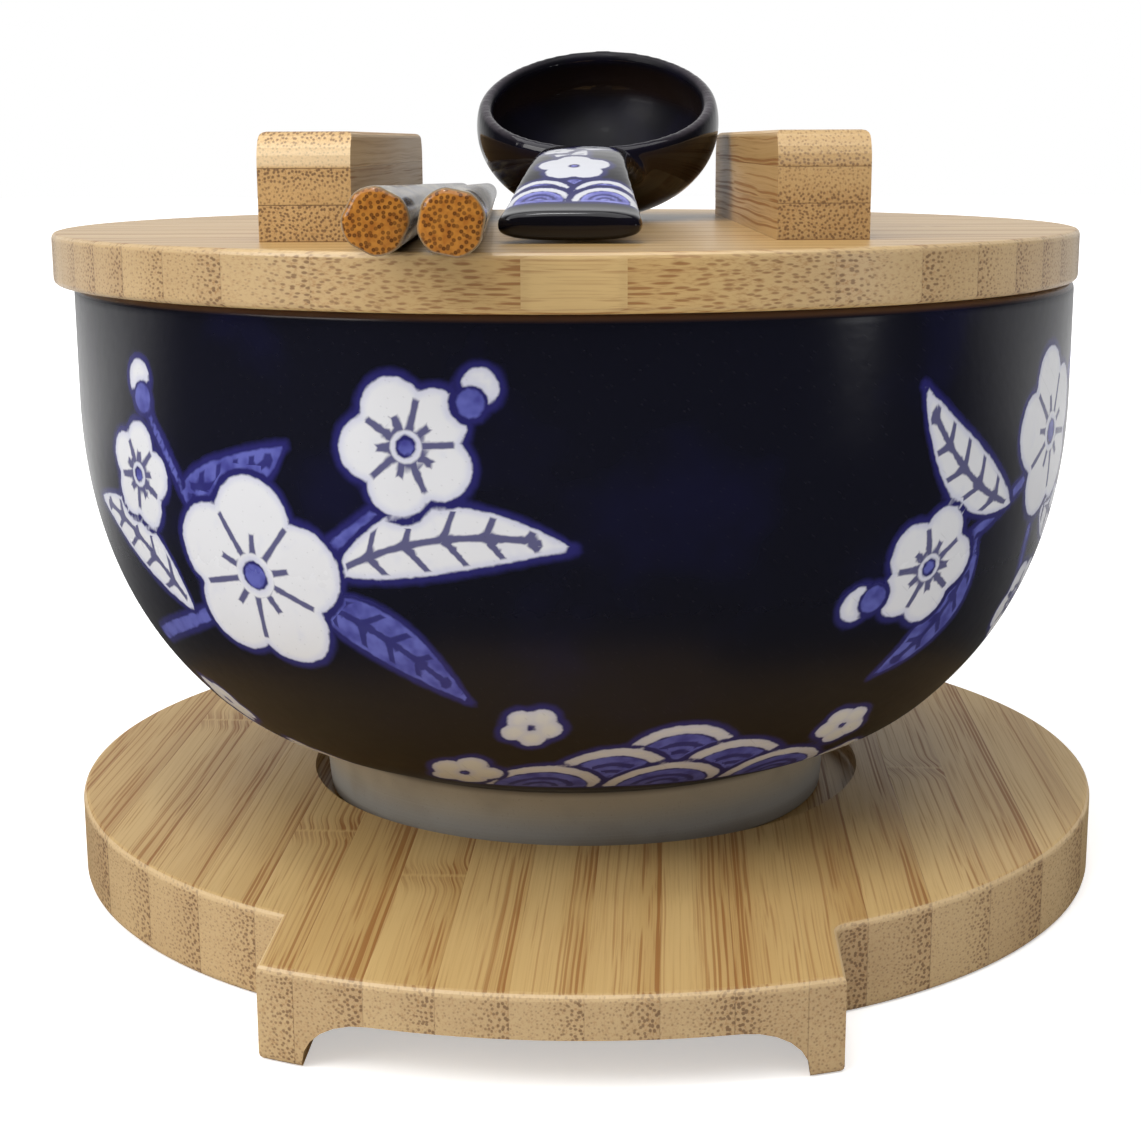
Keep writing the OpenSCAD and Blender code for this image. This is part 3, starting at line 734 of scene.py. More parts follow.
class Painting:
    """Brush-painted shapes on a surface, as distances in millimetres: less than 0 is inside.

    White and wash hold the distance to white and to blue-washed shapes. A fine line runs where vein passes
    through 0 and bound is less than 0.
    """

    FAR = 9.0
    KEYS = ("white", "wash", "vein", "bound")
    GAP = 0.9
    LINE_INSET = 0.7
    RAYED = 6.0

    def __init__(self, across: np.ndarray, up: np.ndarray) -> None:
        """Starts bare, on points with these places along the surface, sideways and upwards."""
        self.across = across
        self.up = up
        self.bare = np.full(len(across), self.FAR)
        self.white, self.wash, self.vein, self.bound = (self.bare.copy() for _ in self.KEYS)

    def over(
        self, shape: np.ndarray, white: np.ndarray, wash: np.ndarray, vein: np.ndarray, bound: np.ndarray
    ) -> None:
        """Lays a shape over what is there, with a dark gap round it.

        Args:
            shape: distance to the whole shape.
            white: distance to its white.
            wash: distance to its blue wash.
            vein: signed distance to its fine lines.
            bound: less than 0 where the fine lines are drawn.
        """
        gap = self.GAP - shape
        self.white = np.minimum(np.maximum(self.white, gap), white)
        self.wash = np.minimum(np.maximum(self.wash, gap), wash)
        self.vein = np.where(gap > 0, vein, self.vein)
        bound = np.maximum(bound, shape + self.LINE_INSET)
        self.bound = np.where(gap > 0, bound, np.maximum(self.bound, gap))

    def join(self, spot: "Painting", where: np.ndarray) -> None:
        """Adds a painting that was made on some of the points."""
        self.vein[where] = np.where(spot.bound < self.bound[where], spot.vein, self.vein[where])
        for key in ("white", "wash", "bound"):
            mine = getattr(self, key)
            mine[where] = np.minimum(mine[where], getattr(spot, key))

    def from_point(self, point: Pair) -> np.ndarray:
        """Distance to a point."""
        return np.hypot(self.across - point[0], self.up - point[1])

    def stroke(self, start: Pair, end: Pair, width: float) -> np.ndarray:
        """Distance to a straight stroke with round ends."""
        ax, ay = self.across - start[0], self.up - start[1]
        bx, by = end[0] - start[0], end[1] - start[1]
        share = np.clip((ax * bx + ay * by) / (bx * bx + by * by), 0.0, 1.0)
        return np.hypot(ax - bx * share, ay - by * share) - width / 2

    def blossom(self, centre: Pair, radius: float, turn: float) -> None:
        """A white five-petalled blossom with a blue heart, and fine rays where it is large."""
        petals = [self.from_point(step_from(centre, 0.55 * radius, turn + 72 * k)) for k in range(5)]
        shape = np.minimum.reduce(petals) - 0.47 * radius
        far = self.from_point(centre)
        angle = np.arctan2(self.up - centre[1], self.across - centre[0]) - math.radians(turn)
        rays = far * np.sin(5 * angle) / 5
        reach = 0.56 * radius - 0.14 * radius * np.cos(5 * angle)
        heart = far - 0.15 * radius
        bound = np.maximum(far - reach, 0.24 * radius - far) if radius > self.RAYED else self.bare
        self.over(shape, np.maximum(shape, -heart), heart + 0.3, rays, bound)

    def bud(self, centre: Pair, radius: float, turn: float) -> None:
        """A closed bud on a blue cup."""
        shape = self.from_point(centre) - radius
        cup = self.from_point(step_from(centre, radius * 0.95, turn + 180)) - radius * 0.75
        self.over(np.minimum(shape, cup), np.maximum(shape, 0.4 - cup), cup, self.bare, self.bare)

    def leaf(
        self, start: Pair, turn: float, length: float, width: float, bend: float, blue: bool = False
    ) -> None:
        """A long bent leaf with a midrib and side veins.

        Args:
            start: where it is fixed.
            turn: its direction, in degrees.
            length: its length.
            width: its greatest width.
            bend: its sag, as a share of its length.
            blue: True for a washed leaf, False for a white one.
        """
        a = math.radians(turn)
        x = (self.across - start[0]) * math.cos(a) + (self.up - start[1]) * math.sin(a)
        y = (self.up - start[1]) * math.cos(a) - (self.across - start[0]) * math.sin(a)
        share = np.clip(x / length, 0.0, 1.0)
        half = width / 2 * np.sin(np.pi * share ** 0.85) ** 0.85
        off = y - 4 * bend * length * share * (1 - share)
        beyond = np.maximum(np.maximum(-x, x - length), 0.0)
        inside = np.abs(off) - half
        shape = np.where((beyond <= 0) & (inside < 0), inside, np.hypot(np.maximum(inside, 0.0), beyond))
        step = length / 6
        side = step / np.pi * np.sin(np.pi * (x - 0.6 * np.abs(off)) / step)
        vein = off * side / np.sqrt(off * off + side * side + 0.01)
        bound = np.maximum(0.06 * length - x, x - 0.88 * length)
        self.over(shape, self.bare if blue else shape, shape if blue else self.bare, vein, bound)

    def twig(self, points: Sequence[Pair], width: float) -> None:
        """A thin bent branch in blue wash."""
        line = curve(points, 14)
        strokes = [self.stroke(a, b, width * (1 - k / 28)) for k, (a, b) in enumerate(zip(line, line[1:]))]
        self.wash = np.minimum(self.wash, np.minimum.reduce(strokes))

    def fans(self, centre: Pair, radius: float, rows: Sequence[Sequence[float]]) -> None:
        """Rows of overlapping fans, the lower rows in front, cut level at the bottom.

        Args:
            centre: the middle of the lowest row's centres.
            radius: the radius of a fan.
            rows: from the top row down, the sideways places of the fans in radii.
        """
        cut = centre[1] - self.up - 0.10 * radius
        for level, row in enumerate(rows):
            rise = (len(rows) - 1 - level) * 0.55 * radius
            for place in row:
                far = self.from_point((centre[0] + place * radius, centre[1] + rise))
                shape = np.maximum(far - radius, cut)
                crest = np.maximum(np.abs(far - radius * 0.88) - radius * 0.12, cut)
                arcs = radius * 0.24 / np.pi * np.sin(np.pi * (far / radius - 0.24) / 0.24)
                inner = np.maximum(far - radius * 0.74, cut)
                self.over(shape, crest, inner, arcs, np.maximum(far - radius * 0.60, cut))

    def store(self, mesh: Mesh, allowed: np.ndarray) -> None:
        """Writes the distances to the mesh where painting is allowed, and far distances elsewhere."""
        for name in self.KEYS:
            layer = mesh.attributes.new(name, "FLOAT", "POINT")
            far = np.where(allowed, getattr(self, name), self.FAR)
            layer.data.foreach_set("value", far.astype(np.float32))


@dataclass
class Bowl:
    """The glazed bowl: a spun shell with a bare foot and painted sprays round its side."""

    centre_x: float = -1.8
    base_z: float = 10.2
    diameter: float = 161.4
    height: float = 86.2
    side_h: float = 68.4
    knee: Pair = (65.95, 24.3)
    knee_slope: float = 48.7
    base_slope: float = 17.8
    foot_r: float = 43.3
    foot_h: float = 10.5
    foot_taper: float = 1.0
    foot_wall: float = 4.6
    hollow_h: float = 7.6
    rim_t: float = 4.2
    wall_t: float = 5.0
    floor_t: float = 5.2
    around: int = 576
    spacing: float = 0.9
    spray_reach: float = 47.0
    outside: List[Pair] = field(default_factory=list)

    def outline(self) -> List[Pair]:
        """Half outline from the middle of the underside out, up, over the rim and back to the middle."""
        inner_foot = self.foot_r - self.foot_wall
        ease = self.foot_wall / 8
        rim = self.rim_t / 3
        r = self.diameter / 2
        inner_r = r - self.rim_t
        base_draw = 0.94 * (self.knee[1] - self.foot_h)
        knee_draw = 0.14 * self.knee[0]
        side_draw = 0.41 * (self.side_h - self.knee[1])
        floor = self.hollow_h + self.floor_t
        top_foot = (self.foot_r, self.foot_h)
        knee_in = step_from(self.knee, self.wall_t, self.knee_slope + 90)

        def side(knee: Pair, radius: float) -> Tuple[Pair, ...]:
            """The upper side's curve from a knee up to a radius."""
            drawn = step_from(knee, 1.6 * knee_draw, self.knee_slope)
            return knee, drawn, (radius, self.side_h - side_draw), (radius, self.side_h)

        leave = step_from(top_foot, base_draw, self.base_slope)
        lower = curve((top_foot, leave, step_from(self.knee, -knee_draw, self.knee_slope), self.knee), 40)
        upper = curve(side(self.knee, r), 60)
        self.outside = even(lower[1:] + upper[1:] + [(r, self.height - rim)], self.spacing)
        leave = step_from(knee_in, -1.4 * knee_draw, self.knee_slope)
        bottom = curve((knee_in, leave, (knee_in[0] / 2, floor), (0.0, floor)), 11)
        return (
            [(0.0, self.hollow_h), (inner_foot * 0.5, self.hollow_h)]
            + arc((inner_foot - ease, self.hollow_h - ease), ease, 90, 0, 3)
            + arc((inner_foot + ease, ease), ease, 180, 270, 3)
            + arc((self.foot_r - self.foot_taper - ease, ease), ease, -90, 0, 3)
            + [(self.foot_r - 0.05 - self.foot_taper * 0.5, self.foot_h * 0.5)]
            + [(self.foot_r - 0.06, self.foot_h - 0.35)]
            + arc((self.foot_r + 0.30, self.foot_h + 0.02), 0.24, 200, 330, 5)
            + self.outside
            + arc((r - rim, self.height - rim), rim, 15, 90, 6)
            + arc((inner_r + rim, self.height - rim), rim, 90, 180, 6)
            + curve(side(knee_in, inner_r)[::-1], 13)
            + bottom[1:]
        )

    def sprays(self, mesh: Mesh) -> None:
        """Paints the outside with blossom sprays and low rows of fans."""
        x, y, z = (vertex_rows(mesh, "co") / MM - (self.centre_x, 0, self.base_z)).T
        radius = np.hypot(x, y)
        line = np.array(self.outside)
        order = np.argsort(line[:, 1])
        up, wall = (np.interp(z, line[order, 1], row[order]) for row in (run_of(line), line[:, 0]))
        angle = np.degrees(np.arctan2(x, -y))
        whole = Painting(angle, up)
        places = [(-30.0, self.spray_left), (58.0, self.spray_right), (146.0, self.spray_left)]
        places += [(-118.0, self.spray_right)] + [(a, self.low_fans) for a in (16.0, -76.0, 103.0, -165.0)]
        for middle, paint in places:
            off = (angle - middle + 180.0) % 360.0 - 180.0
            near = np.abs(off) < self.spray_reach
            spot = Painting(np.radians(off[near]) * radius[near], up[near])
            paint(spot)
            whole.join(spot, near)
        whole.store(mesh, (radius > wall - 1.2) & (z > self.foot_h + 0.3))

    @staticmethod
    def spray_left(art: Painting) -> None:
        """A spray that rises to the right."""
        art.twig(((-34, 38), (-16, 46), (4, 50), (30, 74)), 2.4)
        art.twig(((-6, 50), (-10, 60), (-16, 68), (-24, 78)), 1.8)
        art.leaf((12, 56), 8, 34, 9.5, 0.10)
        art.leaf((-18, 46), 152, 30, 9.0, -0.12)
        art.leaf((6, 52), -38, 26, 8.0, 0.10, True)
        art.leaf((-14, 66), 20, 21, 7.0, -0.10, True)
        art.blossom((-2, 54), 14.5, 12)
        art.blossom((24, 74), 9.5, 40)
        art.blossom((-26, 66), 8.0, 5)
        art.bud((-24, 80), 2.9, 105)
        art.bud((34, 82), 2.6, 60)

    @staticmethod
    def spray_right(art: Painting) -> None:
        """A spray that hangs to the left."""
        art.twig(((30, 82), (18, 74), (6, 66), (-26, 52)), 2.3)
        art.twig(((8, 67), (4, 56), (8, 48), (14, 40)), 1.8)
        art.leaf((-4, 61), 140, 30, 9.0, 0.12)
        art.leaf((8, 62), -14, 30, 9.0, -0.10)
        art.leaf((-12, 57), -120, 24, 7.5, 0.12, True)
        art.blossom((10, 70), 13.0, 30)
        art.blossom((-22, 54), 9.0, 0)
        art.blossom((14, 42), 7.5, 50)
        art.bud((-34, 50), 2.8, 190)

    @staticmethod
    def low_fans(art: Painting) -> None:
        """Rows of fans low on the bowl, with loose petals beside them."""
        art.fans((0, 12), 9.0, ((0.0,), (-1.0, 1.0), (-2.0, 0.0, 2.0)))
        for across, up, size in ((-30, 17, 5.6), (27, 25, 5.0), (-22, 31, 4.4), (33, 12, 5.4)):
            art.blossom((across, up), size, across * 7)

    def build(self) -> Object:
        """Builds and dresses the bowl in place of its node."""
        bm = bmesh.new()
        spin_shell(bm, [(r * MM, z * MM) for r, z in self.outline()], self.around)
        bmesh.ops.remove_doubles(bm, verts=bm.verts, dist=0.01 * MM)
        bmesh.ops.recalc_face_normals(bm, faces=bm.faces)
        for face in bm.faces:
            x, y, z = face.calc_center_median() / MM
            face.material_index = int(z < self.foot_h - 0.20 and math.hypot(x, y) < self.foot_r + 0.02)
        bmesh.ops.translate(bm, verts=bm.verts, vec=(self.centre_x * MM, 0, self.base_z * MM))
        made = piece_from(bm, "bowl_dressed", "bowl")
        self.sprays(made.data)
        foot_z = self.base_z + self.foot_h
        made.data.materials.append(Glaze("bowl_glaze_painted", foot_z, self.base_z + self.height).build())
        made.data.materials.append(Clay("bowl_foot_clay", self.base_z, foot_z).build())
        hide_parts("bowl")
        return made


@dataclass
class LidFrame:
    """Where things lie on the lid: a frame in the middle of its top."""

    x: float = -3.1
    turn: float = 3.7
    top: float = 104.2

    def spot(self, x: float, y: float, z: float = 0.0, turn: float = 0.0) -> Matrix:
        """The frame of something on the lid's top, in the row frame in millimetres."""
        lid = Matrix.Translation((self.x, 0, self.top)) @ Matrix.Rotation(math.radians(self.turn), 4, "Z")
        return lid @ Matrix.Translation((x, y, z)) @ Matrix.Rotation(math.radians(turn), 4, "Z")


@dataclass
class Spoon:
    """The glazed spoon: an egg-shaped bowl and an arched handle, blended into one skin."""

    lid: LidFrame
    x: float = -0.3
    y: float = -61.5
    lift: float = 0.2
    turn: float = -4.0
    width: float = 43.2
    length: float = 51.0
    depth: float = 19.8
    shoulder: float = 4.4
    wall: float = 2.7
    tilt: float = 22.0
    egg: float = 0.06
    grip_length: float = 71.0
    grip_width: float = 20.1
    grip_t: float = 4.2
    grip_rise: float = 8.1
    end_top: float = 0.9
    end_under: float = 1.7
    end_side: float = 2.2
    squareness: float = 2 / 3
    arch: Tuple[Pair, ...] = ((0, 0), (0.2, 0.08), (0.25, 1.78), (1, 0.7))
    widths: Tuple[float, ...] = (1.0, 0.97, 0.38, 0.9)
    around: int = 96

    def side(self, inset: float) -> List[Pair]:
        """Half outline of the bowl set inwards, from near the bottom up to the opening's edge."""
        r = self.width / 2 - inset
        h = self.depth - self.shoulder - inset
        top = math.degrees(math.asin((self.shoulder - self.wall / 2) / h))
        return [(r * math.cos(math.radians(a)), h * math.sin(math.radians(a)) - self.shoulder)
                for a in np.linspace(-88, top, 26)]

    def opening(self) -> Pair:
        """Distance ahead of the handle's end and height of the opening's middle."""
        half = (self.side(0)[-1][0] - self.wall / 2) * self.length / self.width
        tilt = math.radians(self.tilt)
        down = math.hypot(self.length / 2 * math.sin(tilt), (self.depth - self.shoulder) * math.cos(tilt))
        return (self.grip_length + half * math.cos(tilt), self.shoulder * math.cos(tilt) + down)

    def place(self) -> Matrix:
        """The spoon's own frame in the row frame, in millimetres."""
        return self.lid.spot(self.x, self.y, self.lift, self.turn)

    def scoop(self, bm: BMesh) -> None:
        """Adds the spoon's bowl as a spun shell, made oval, narrowed to its tip and tilted."""
        outer, inner = self.side(0), self.side(self.wall)
        rim = (outer[-1][0] - self.wall / 2, outer[-1][1])
        points = [(0.0, outer[0][1])] + outer + arc(rim, self.wall / 2, 20, 160, 7)
        spin_shell(bm, points + inner[::-1] + [(0.0, inner[0][1])], self.around)
        for v in bm.verts:
            radius = max(math.hypot(v.co.x, v.co.y), 1e-6)
            v.co.x *= 1 - self.egg * v.co.y / radius
            v.co.y *= self.length / self.width
        place = Matrix.Translation((0, *self.opening())) @ Matrix.Rotation(math.radians(self.tilt), 4, "X")
        bmesh.ops.transform(bm, matrix=place, verts=bm.verts)

    @staticmethod
    def drawn_in(along: float, reach: float) -> float:
        """How far a side of the handle has drawn in where its rounded end begins this far ahead."""
        return reach * (1 - math.sqrt(1 - (1 - along / reach) ** 2)) if along < reach else 0.0

    def grip_section(self, share: float) -> List[Triple]:
        """A cross-section of the handle at a place along it."""
        at = min(200, int(round(share * 200)))
        ahead, rise = curve(self.arch, 200)[at]
        along = ahead * (self.grip_length + self.wall / 2)
        w = self.grip_width * curve([(w, 0.0) for w in self.widths], 200)[at][0]
        w -= 2 * self.drawn_in(along, self.end_side)
        under = self.drawn_in(along, self.end_under)
        t = self.grip_t - self.drawn_in(along, self.end_top) - under
        middle = rise * self.grip_rise + under + t / 2
        made = []
        for i in range(36):
            c, s = math.cos(math.tau * i / 36), math.sin(math.tau * i / 36)
            x = math.copysign(abs(c) ** self.squareness, c) * w / 2
            made.append((x, along, middle + math.copysign(abs(s) ** self.squareness, s) * t / 2))
        return made

    def build(self) -> Object:
        """Builds and dresses the spoon in place of its node."""
        bm = bmesh.new()
        self.scoop(bm)
        bmesh.ops.remove_doubles(bm, verts=bm.verts, dist=0.02)
        bmesh.ops.recalc_face_normals(bm, faces=bm.faces)
        grip = bmesh.new()
        loft(grip, [self.grip_section((k / 30) ** 1.6) for k in range(31)])
        bmesh.ops.recalc_face_normals(grip, faces=grip.faces)
        joined = mesh_from(grip, "spoon_grip")
        bm.from_mesh(joined)
        bpy.data.meshes.remove(joined)
        bmesh.ops.transform(bm, matrix=Matrix.Scale(MM, 4) @ self.place(), verts=bm.verts)
        made = piece_from(bm, "spoon_dressed", "spoon")
        for kind, settings in (
            ("REMESH", {"mode": "VOXEL", "voxel_size": 0.50 * MM, "use_smooth_shade": True}),
            ("SMOOTH", {"factor": 0.5, "iterations": 4}),
        ):
            modifier = made.modifiers.new(kind.lower(), kind)
            for key, value in settings.items():
                setattr(modifier, key, value)
        bpy.context.view_layer.update()
        done = bpy.data.meshes.new_from_object(made.evaluated_get(bpy.context.evaluated_depsgraph_get()))
        made.modifiers.clear()
        old, made.data = made.data, done
        bpy.data.meshes.remove(old)
        self.soften(done)
        self.motif(done)
        origin = tuple(self.place().translation)
        glaze = SpoonGlaze(
            "spoon_glaze_painted", origin, self.lid.turn + self.turn, self.tilt, self.opening()
        )
        done.materials.clear()
        done.materials.append(glaze.build())
        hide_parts("spoon")
        return made

    def soften(self, mesh: Mesh) -> None:
        """Smooths the skin further where the handle runs into the bowl, and leaves the handle's end crisp."""
        bm = bmesh.new()
        bm.from_mesh(mesh)
        back = self.place().inverted()
        joint = [v for v in bm.verts if (back @ (v.co / MM)).y > 0.55 * self.grip_length]
        for _ in range(12):
            bmesh.ops.smooth_vert(
                bm, verts=joint, factor=0.5, use_axis_x=True, use_axis_y=True, use_axis_z=True,
            )
        bm.to_mesh(mesh)
        bm.free()

    def motif(self, mesh: Mesh) -> None:
        """Paints a small blossom and rows of fans on the top of the handle."""
        back = np.array(self.place().inverted())
        across, ahead, _ = (vertex_rows(mesh, "co") / MM @ back[:3, :3].T + back[:3, 3]).T
        art = Painting(across, ahead)
        art.fans((0.0, 6.5), 4.6, ((-0.1,), (-1.0, 1.0), (-1.0, 1.0)))
        art.leaf((0, 20), 90, 15, 5.0, 0.08)
        for centre, radius, turn in (((-0.3, 19), 5.2, 20), ((2.0, 33), 3.0, 50), ((-3.2, 29), 2.4, 10)):
            art.blossom(centre, radius, turn)
        art.store(mesh, (vertex_rows(mesh, "normal")[:, 2] > 0.25) & (ahead < 44))


@dataclass
class Chopstick:
    """A chopstick: a rounded square butt that tapers to a round tip.

    The eases hold pairs of a distance from the end and how far the section is set inwards there.
    """

    lid: LidFrame
    name: str
    x: float
    y: float
    turn: float
    roll: float
    seed: float
    lift: float = 0.2
    length: float = 225.0
    butt: float = 7.8
    tip: float = 4.2
    round_share: float = 1.07
    flat_share: float = 0.8
    around: int = 48
    butt_ease: Tuple[Pair, ...] = ((0.02, 2.6), (0, 1.6), (0.12, 0.75), (0.38, 0.30), (0.75, 0.06), (1.2, 0))
    tip_ease: Tuple[Pair, ...] = ((0.8, 0.03), (0.3, 0.25), (0, 0.7))

    def section(self, along: float, inset: float) -> List[Triple]:
        """The section at a place along the stick: a circle cut by four flats, set inwards."""
        share = along / self.length
        round_r = self.butt * self.round_share / 2
        r = round_r + (self.tip / 2 - round_r) * share - inset
        flat = self.butt / 2 - self.flat_share * (self.butt - self.tip) / 2 * share - inset
        made = []
        for i in range(self.around):
            a = math.tau * (i + 0.5) / self.around
            turn = (a + math.pi / 4) % (math.pi / 2) - math.pi / 4
            reach = min(r, flat / math.cos(turn))
            made.append((reach * math.cos(a), along, reach * math.sin(a)))
        return made

    def build(self) -> Object:
        """Builds and dresses the chopstick in place of its node."""
        stations = [*self.butt_ease, *((self.length * k / 12, 0.0) for k in range(1, 12))]
        stations += [(self.length - back, inset) for back, inset in self.tip_ease]
        bm = bmesh.new()
        core = bm.verts.layers.float.new("core")
        for ring, (_, inset) in zip(loft(bm, [self.section(*station) for station in stations]), stations):
            for v in ring:
                v[core] = 1.0 - inset / (self.butt / 2)
        bmesh.ops.recalc_face_normals(bm, faces=bm.faces)
        high = self.butt * self.round_share / 2
        roll = math.radians(self.roll)
        if roll <= math.acos(1 / self.round_share):
            high = (math.cos(roll) + math.sqrt(self.round_share ** 2 - 1) * math.sin(roll)) * self.butt / 2
        slope = math.asin((high - self.tip / 2) / self.length)
        place = (
            self.lid.spot(self.x, self.y, self.lift, self.turn)
            @ Matrix.Translation((0, high * math.sin(slope), high))
            @ Matrix.Rotation(-slope, 4, "X")
            @ Matrix.Rotation(roll, 4, "Y")
        )
        bmesh.ops.transform(bm, matrix=Matrix.Scale(MM, 4) @ place, verts=bm.verts)
        made = piece_from(bm, f"{self.name}_dressed", self.name)
        turn = self.lid.turn + self.turn
        coat = StickCoat(f"{self.name}_coat", tuple(place.translation), turn, self.length, self.seed)
        made.data.materials.append(coat.build())
        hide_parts(self.name)
        return made


@dataclass
class Woodwork:
    """The tray's and the lid's staves, the handle plies and the dowels: solids that keep their shape."""

    lid: LidFrame
    tray_pitch: float = 170.6 / 18
    tray_joint: float = 0.43
    tray_top: float = 13.2
    lid_pitch: float = 165 / 23.57
    lid_radius: float = 82.5
    lid_first: float = 1.04
    ply: float = 5.02
    block_cut: Rgb = (0.65, 0.435, 0.195)
    block_cut_tan: Rgb = (0.43, 0.245, 0.085)

    def block(self, side: str, x: float, turn: float, seed: float, highlight_share: float, light_scale: float) -> Bamboo:
        """A handle block's finish: highlight_share lays a painted highlight on the top ply's ends, and
        light_scale scales its end colours as painted light and shade.
        """
        return Bamboo(
            f"handle_{side}_bamboo_fibres", tuple(self.lid.spot(x, 0).translation), self.lid.turn + turn,
            self.ply, 0.0, seed, Layers.UP, top=3 * self.ply, ease=0.8, dense_last=0.5, first_dense=0.90,
            density=0.30, spacing=0.64, pore=(0.20, 0.10), highlight_share=highlight_share, joint=0.50, pale=(0.60, 0.390, 0.165),
            cut=tuple(c * light_scale for c in self.block_cut),
            cut_tan=tuple(c * light_scale for c in self.block_cut_tan),
        )

    def dress(self) -> List[str]:
        """Gives every wooden node its finish.

        Returns:
            The names of the dressed nodes.
        """
        finishes = {
            "tray_stave": Bamboo(
                "tray_bamboo_fibres", (0, 0, 0), 0, self.tray_pitch,
                (self.tray_joint - 10.0) * self.tray_pitch, 3.0, top=self.tray_top,
                knuckles=((5, -41.5), (7, -60.0), (12, 52.0), (2, 18.0), (15, -6.0)),
            ),
            "lid_stave": Bamboo(
                "lid_bamboo_fibres", (self.lid.x, 0, 0), self.lid.turn + 90, self.lid_pitch,
                (self.lid_first - 1.0) * self.lid_pitch - self.lid_radius, 11.0, top=self.lid.top, ease=0.8,
                dense_last=0.05, first_dense=0.60, spacing=0.66, pore=(0.16, 0.13), sheen=0.38,
                roughness=0.36, knuckles=((6, 34.0), (14, -22.0), (19, 12.0), (10, -58.0)),
            ),
            # Painted light and shade: the left block, nearer the key lamp, gets lighter ends and a stronger
            # painted highlight; the right block gets darker ends.
            "handle_left": self.block("left", -34.95, -2.1, 21.0, 0.45, 1.12),
            "handle_right": self.block("right", 35.55, -0.2, 34.0, 0.10, 0.88),
            "handle_dowels": Bamboo("dowel_bamboo_fibres", (0, 0, 0), 0, 40.0, 0.0, 5.0),
        }
        done = []
        for start, finish in finishes.items():
            material = finish.build()
            for name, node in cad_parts.items():
                if name.startswith(start):
                    node.data.materials.clear()
                    node.data.materials.append(material)
                    done.append(name)
        return done


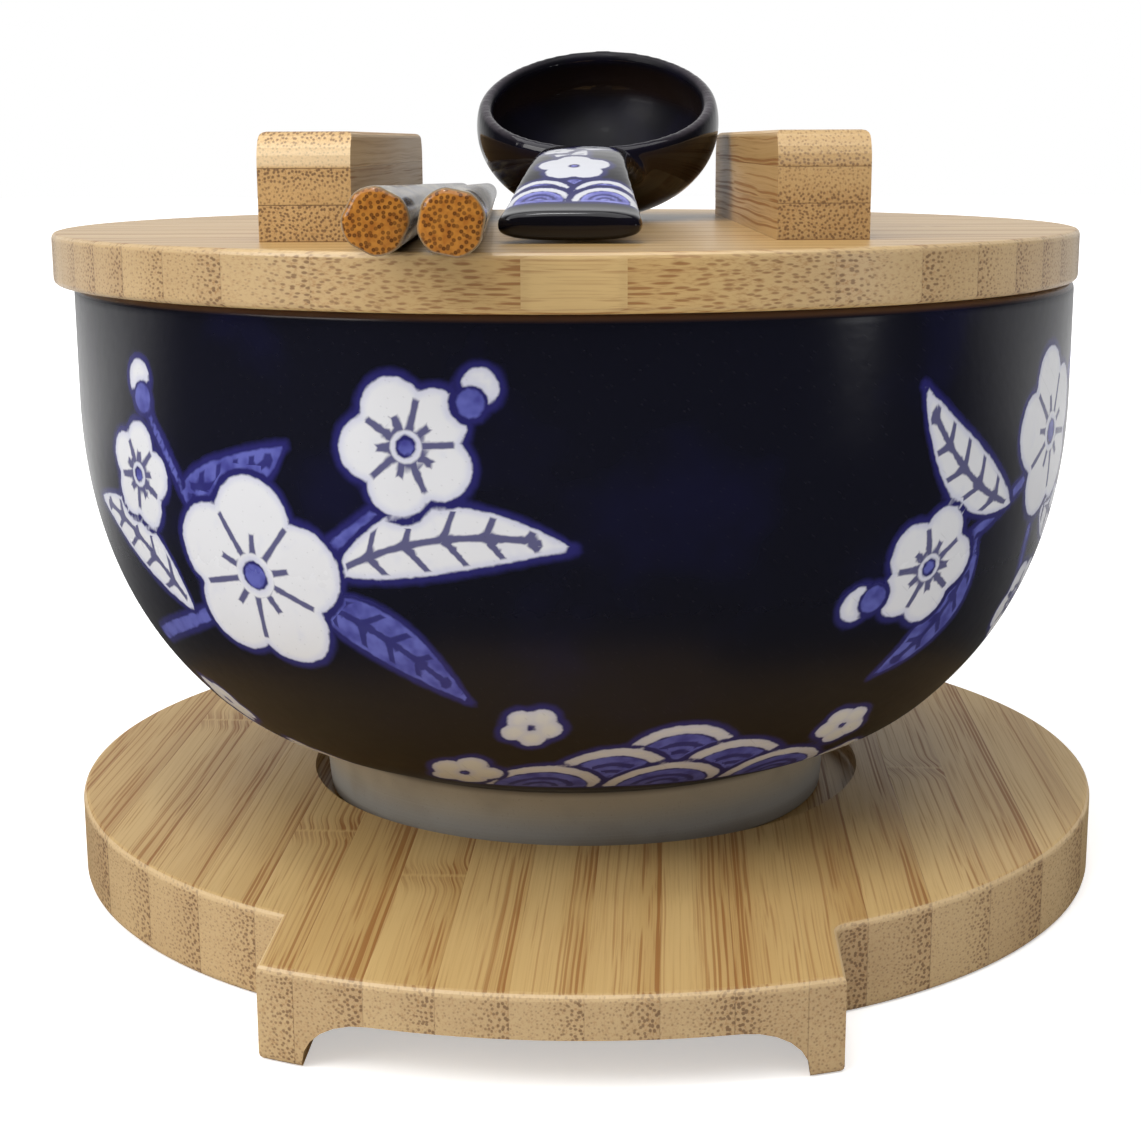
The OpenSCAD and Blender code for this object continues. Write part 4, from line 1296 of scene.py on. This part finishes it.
@dataclass
class Studio:
    """The floor, the lamps, the world and the camera.

    A lamp has a name, its place and its aim in metres, its side in metres, its power in watts and its colour.
    """

    eye: Triple = (14.34, -333.0, 117.73)
    pitch: float = 11.94
    yaw: float = 2.9
    roll: float = -0.22
    focal: float = 1990.28
    frame_width: float = 1141.0
    sensor: float = 36.0
    fill: float = 0.46
    lamps: Tuple[Tuple[str, Triple, Triple, float, float, Rgb], ...] = (
        ("key", (-1.20, -0.75, 0.95), (0, 0, 0.06), 0.90, 12.0, (1.0, 0.985, 0.96)),
        ("glint", (0.97, -0.48, 0.08), (0, 0, 0.08), 0.14, 0.18, WHITE),
        ("top", (-0.15, -0.25, 1.30), (0, 0, 0.05), 1.5, 13.8, WHITE),
        ("spark", (-0.10, -0.30, 1.15), (0, 0, 0.05), 0.12, 1.1, WHITE),
    )

    def camera(self) -> None:
        """Adds the camera at the photograph's viewing angle."""
        data = bpy.data.cameras.new("camera")
        data.sensor_fit = "HORIZONTAL"
        data.sensor_width = self.sensor
        data.lens = self.focal / self.frame_width * self.sensor
        data.clip_start = 0.01
        made = add("camera", data)
        made.matrix_world = (
            Matrix.Translation(Vector(self.eye) * MM)
            @ Matrix.Rotation(math.radians(self.yaw), 4, "Z")
            @ Matrix.Rotation(math.radians(90 - self.pitch), 4, "X")
            @ Matrix.Rotation(math.radians(self.roll), 4, "Z")
        )
        bpy.context.scene.camera = made

    def light(self) -> None:
        """Adds the square soft lamps."""
        for name, place, aim, side, power, tint in self.lamps:
            data = bpy.data.lights.new(name, "AREA")
            data.size = side
            data.energy = power
            data.color = tint
            aimed = (Vector(aim) - Vector(place)).to_track_quat("-Z", "Y")
            add(name, data).matrix_world = Matrix.Translation(place) @ aimed.to_matrix().to_4x4()

    def world(self) -> None:
        """White to the camera, through clear things and in mirrors behind the object, with a plain fill."""
        t = Tree("studio_world", world=True)
        rays = t.node("ShaderNodeLightPath", {}).outputs
        seen = Value(t, rays["Is Camera Ray"]).most(Value(t, rays["Is Transmission Ray"]))
        mirrored = Value(t, rays["Is Glossy Ray"])
        _, ahead, _ = t.tint("ShaderNodeTexCoord", {}, "Generated").parts()
        shine = ahead.rise(0.25, 0.98) * 0.62 + 0.035
        level = seen + (1 - seen) * (mirrored * shine + (1 - mirrored) * self.fill)
        made = t.node("ShaderNodeBackground", {"Color": WHITE, "Strength": level})
        t.links.new(made.outputs[0], t.output.inputs["Surface"])
        bpy.context.scene.world = t.owner

    def floor(self) -> None:
        """Adds a wide pale floor that keeps the object's shadow, glows to the camera, and shows painted shade
        to glossy rays in front.
        """
        bm = bmesh.new()
        bmesh.ops.create_grid(bm, x_segments=2, y_segments=2, size=4.0)
        mesh = mesh_from(bm, "studio_floor")
        made = add("studio_floor", mesh)
        t = Tree("studio_floor_paint")
        rays = t.node("ShaderNodeLightPath", {}).outputs
        x, y, _ = t.local()
        away = t.math("SQRT", x * x + y * y)
        glow = Value(t, rays["Is Camera Ray"]) * (0.45 + away.rise(140.0, 700.0) * 0.6)
        # Painted shade: to glossy rays the floor in front of the set is near black, which darkens what the
        # glazes reflect.
        reflected_shade = Value(t, rays["Is Glossy Ray"]) * (1 - y.rise(-60.0, 400.0))
        mesh.materials.append(t.surface({
            "Base Color": t.mix(reflected_shade, (0.86, 0.86, 0.86), (0.05, 0.05, 0.055)),
            "Roughness": 0.9,
            "Specular IOR Level": 0.0,
            "Emission Color": t.mix(glow, BLACK, WHITE),
            "Emission Strength": 1.0,
        }))

    def build(self) -> None:
        """Builds the whole studio."""
        bpy.context.scene.view_settings.view_transform = "Standard"
        self.camera()
        self.world()
        self.floor()
        self.light()


def main() -> None:
    """Builds the scene piece by piece."""
    logging.basicConfig(level=logging.INFO, format="%(message)s")
    Studio().build()
    lid = LidFrame()
    LOG.info("dressed %d wooden nodes", len(Woodwork(lid).dress()))
    LOG.info("built %s", Bowl().build().name)
    LOG.info("built %s", Spoon(lid).build().name)
    for name, x, y, turn, roll, seed in (
        ("chopstick_left", -23.8, -94.0, -0.4, 28.0, 2.0),
        ("chopstick_right", -14.6, -98.0, 0.4, 12.0, 9.0),
    ):
        LOG.info("built %s", Chopstick(lid, name, x, y, turn, roll, seed).build().name)


if __name__ == "__main__":
    main()
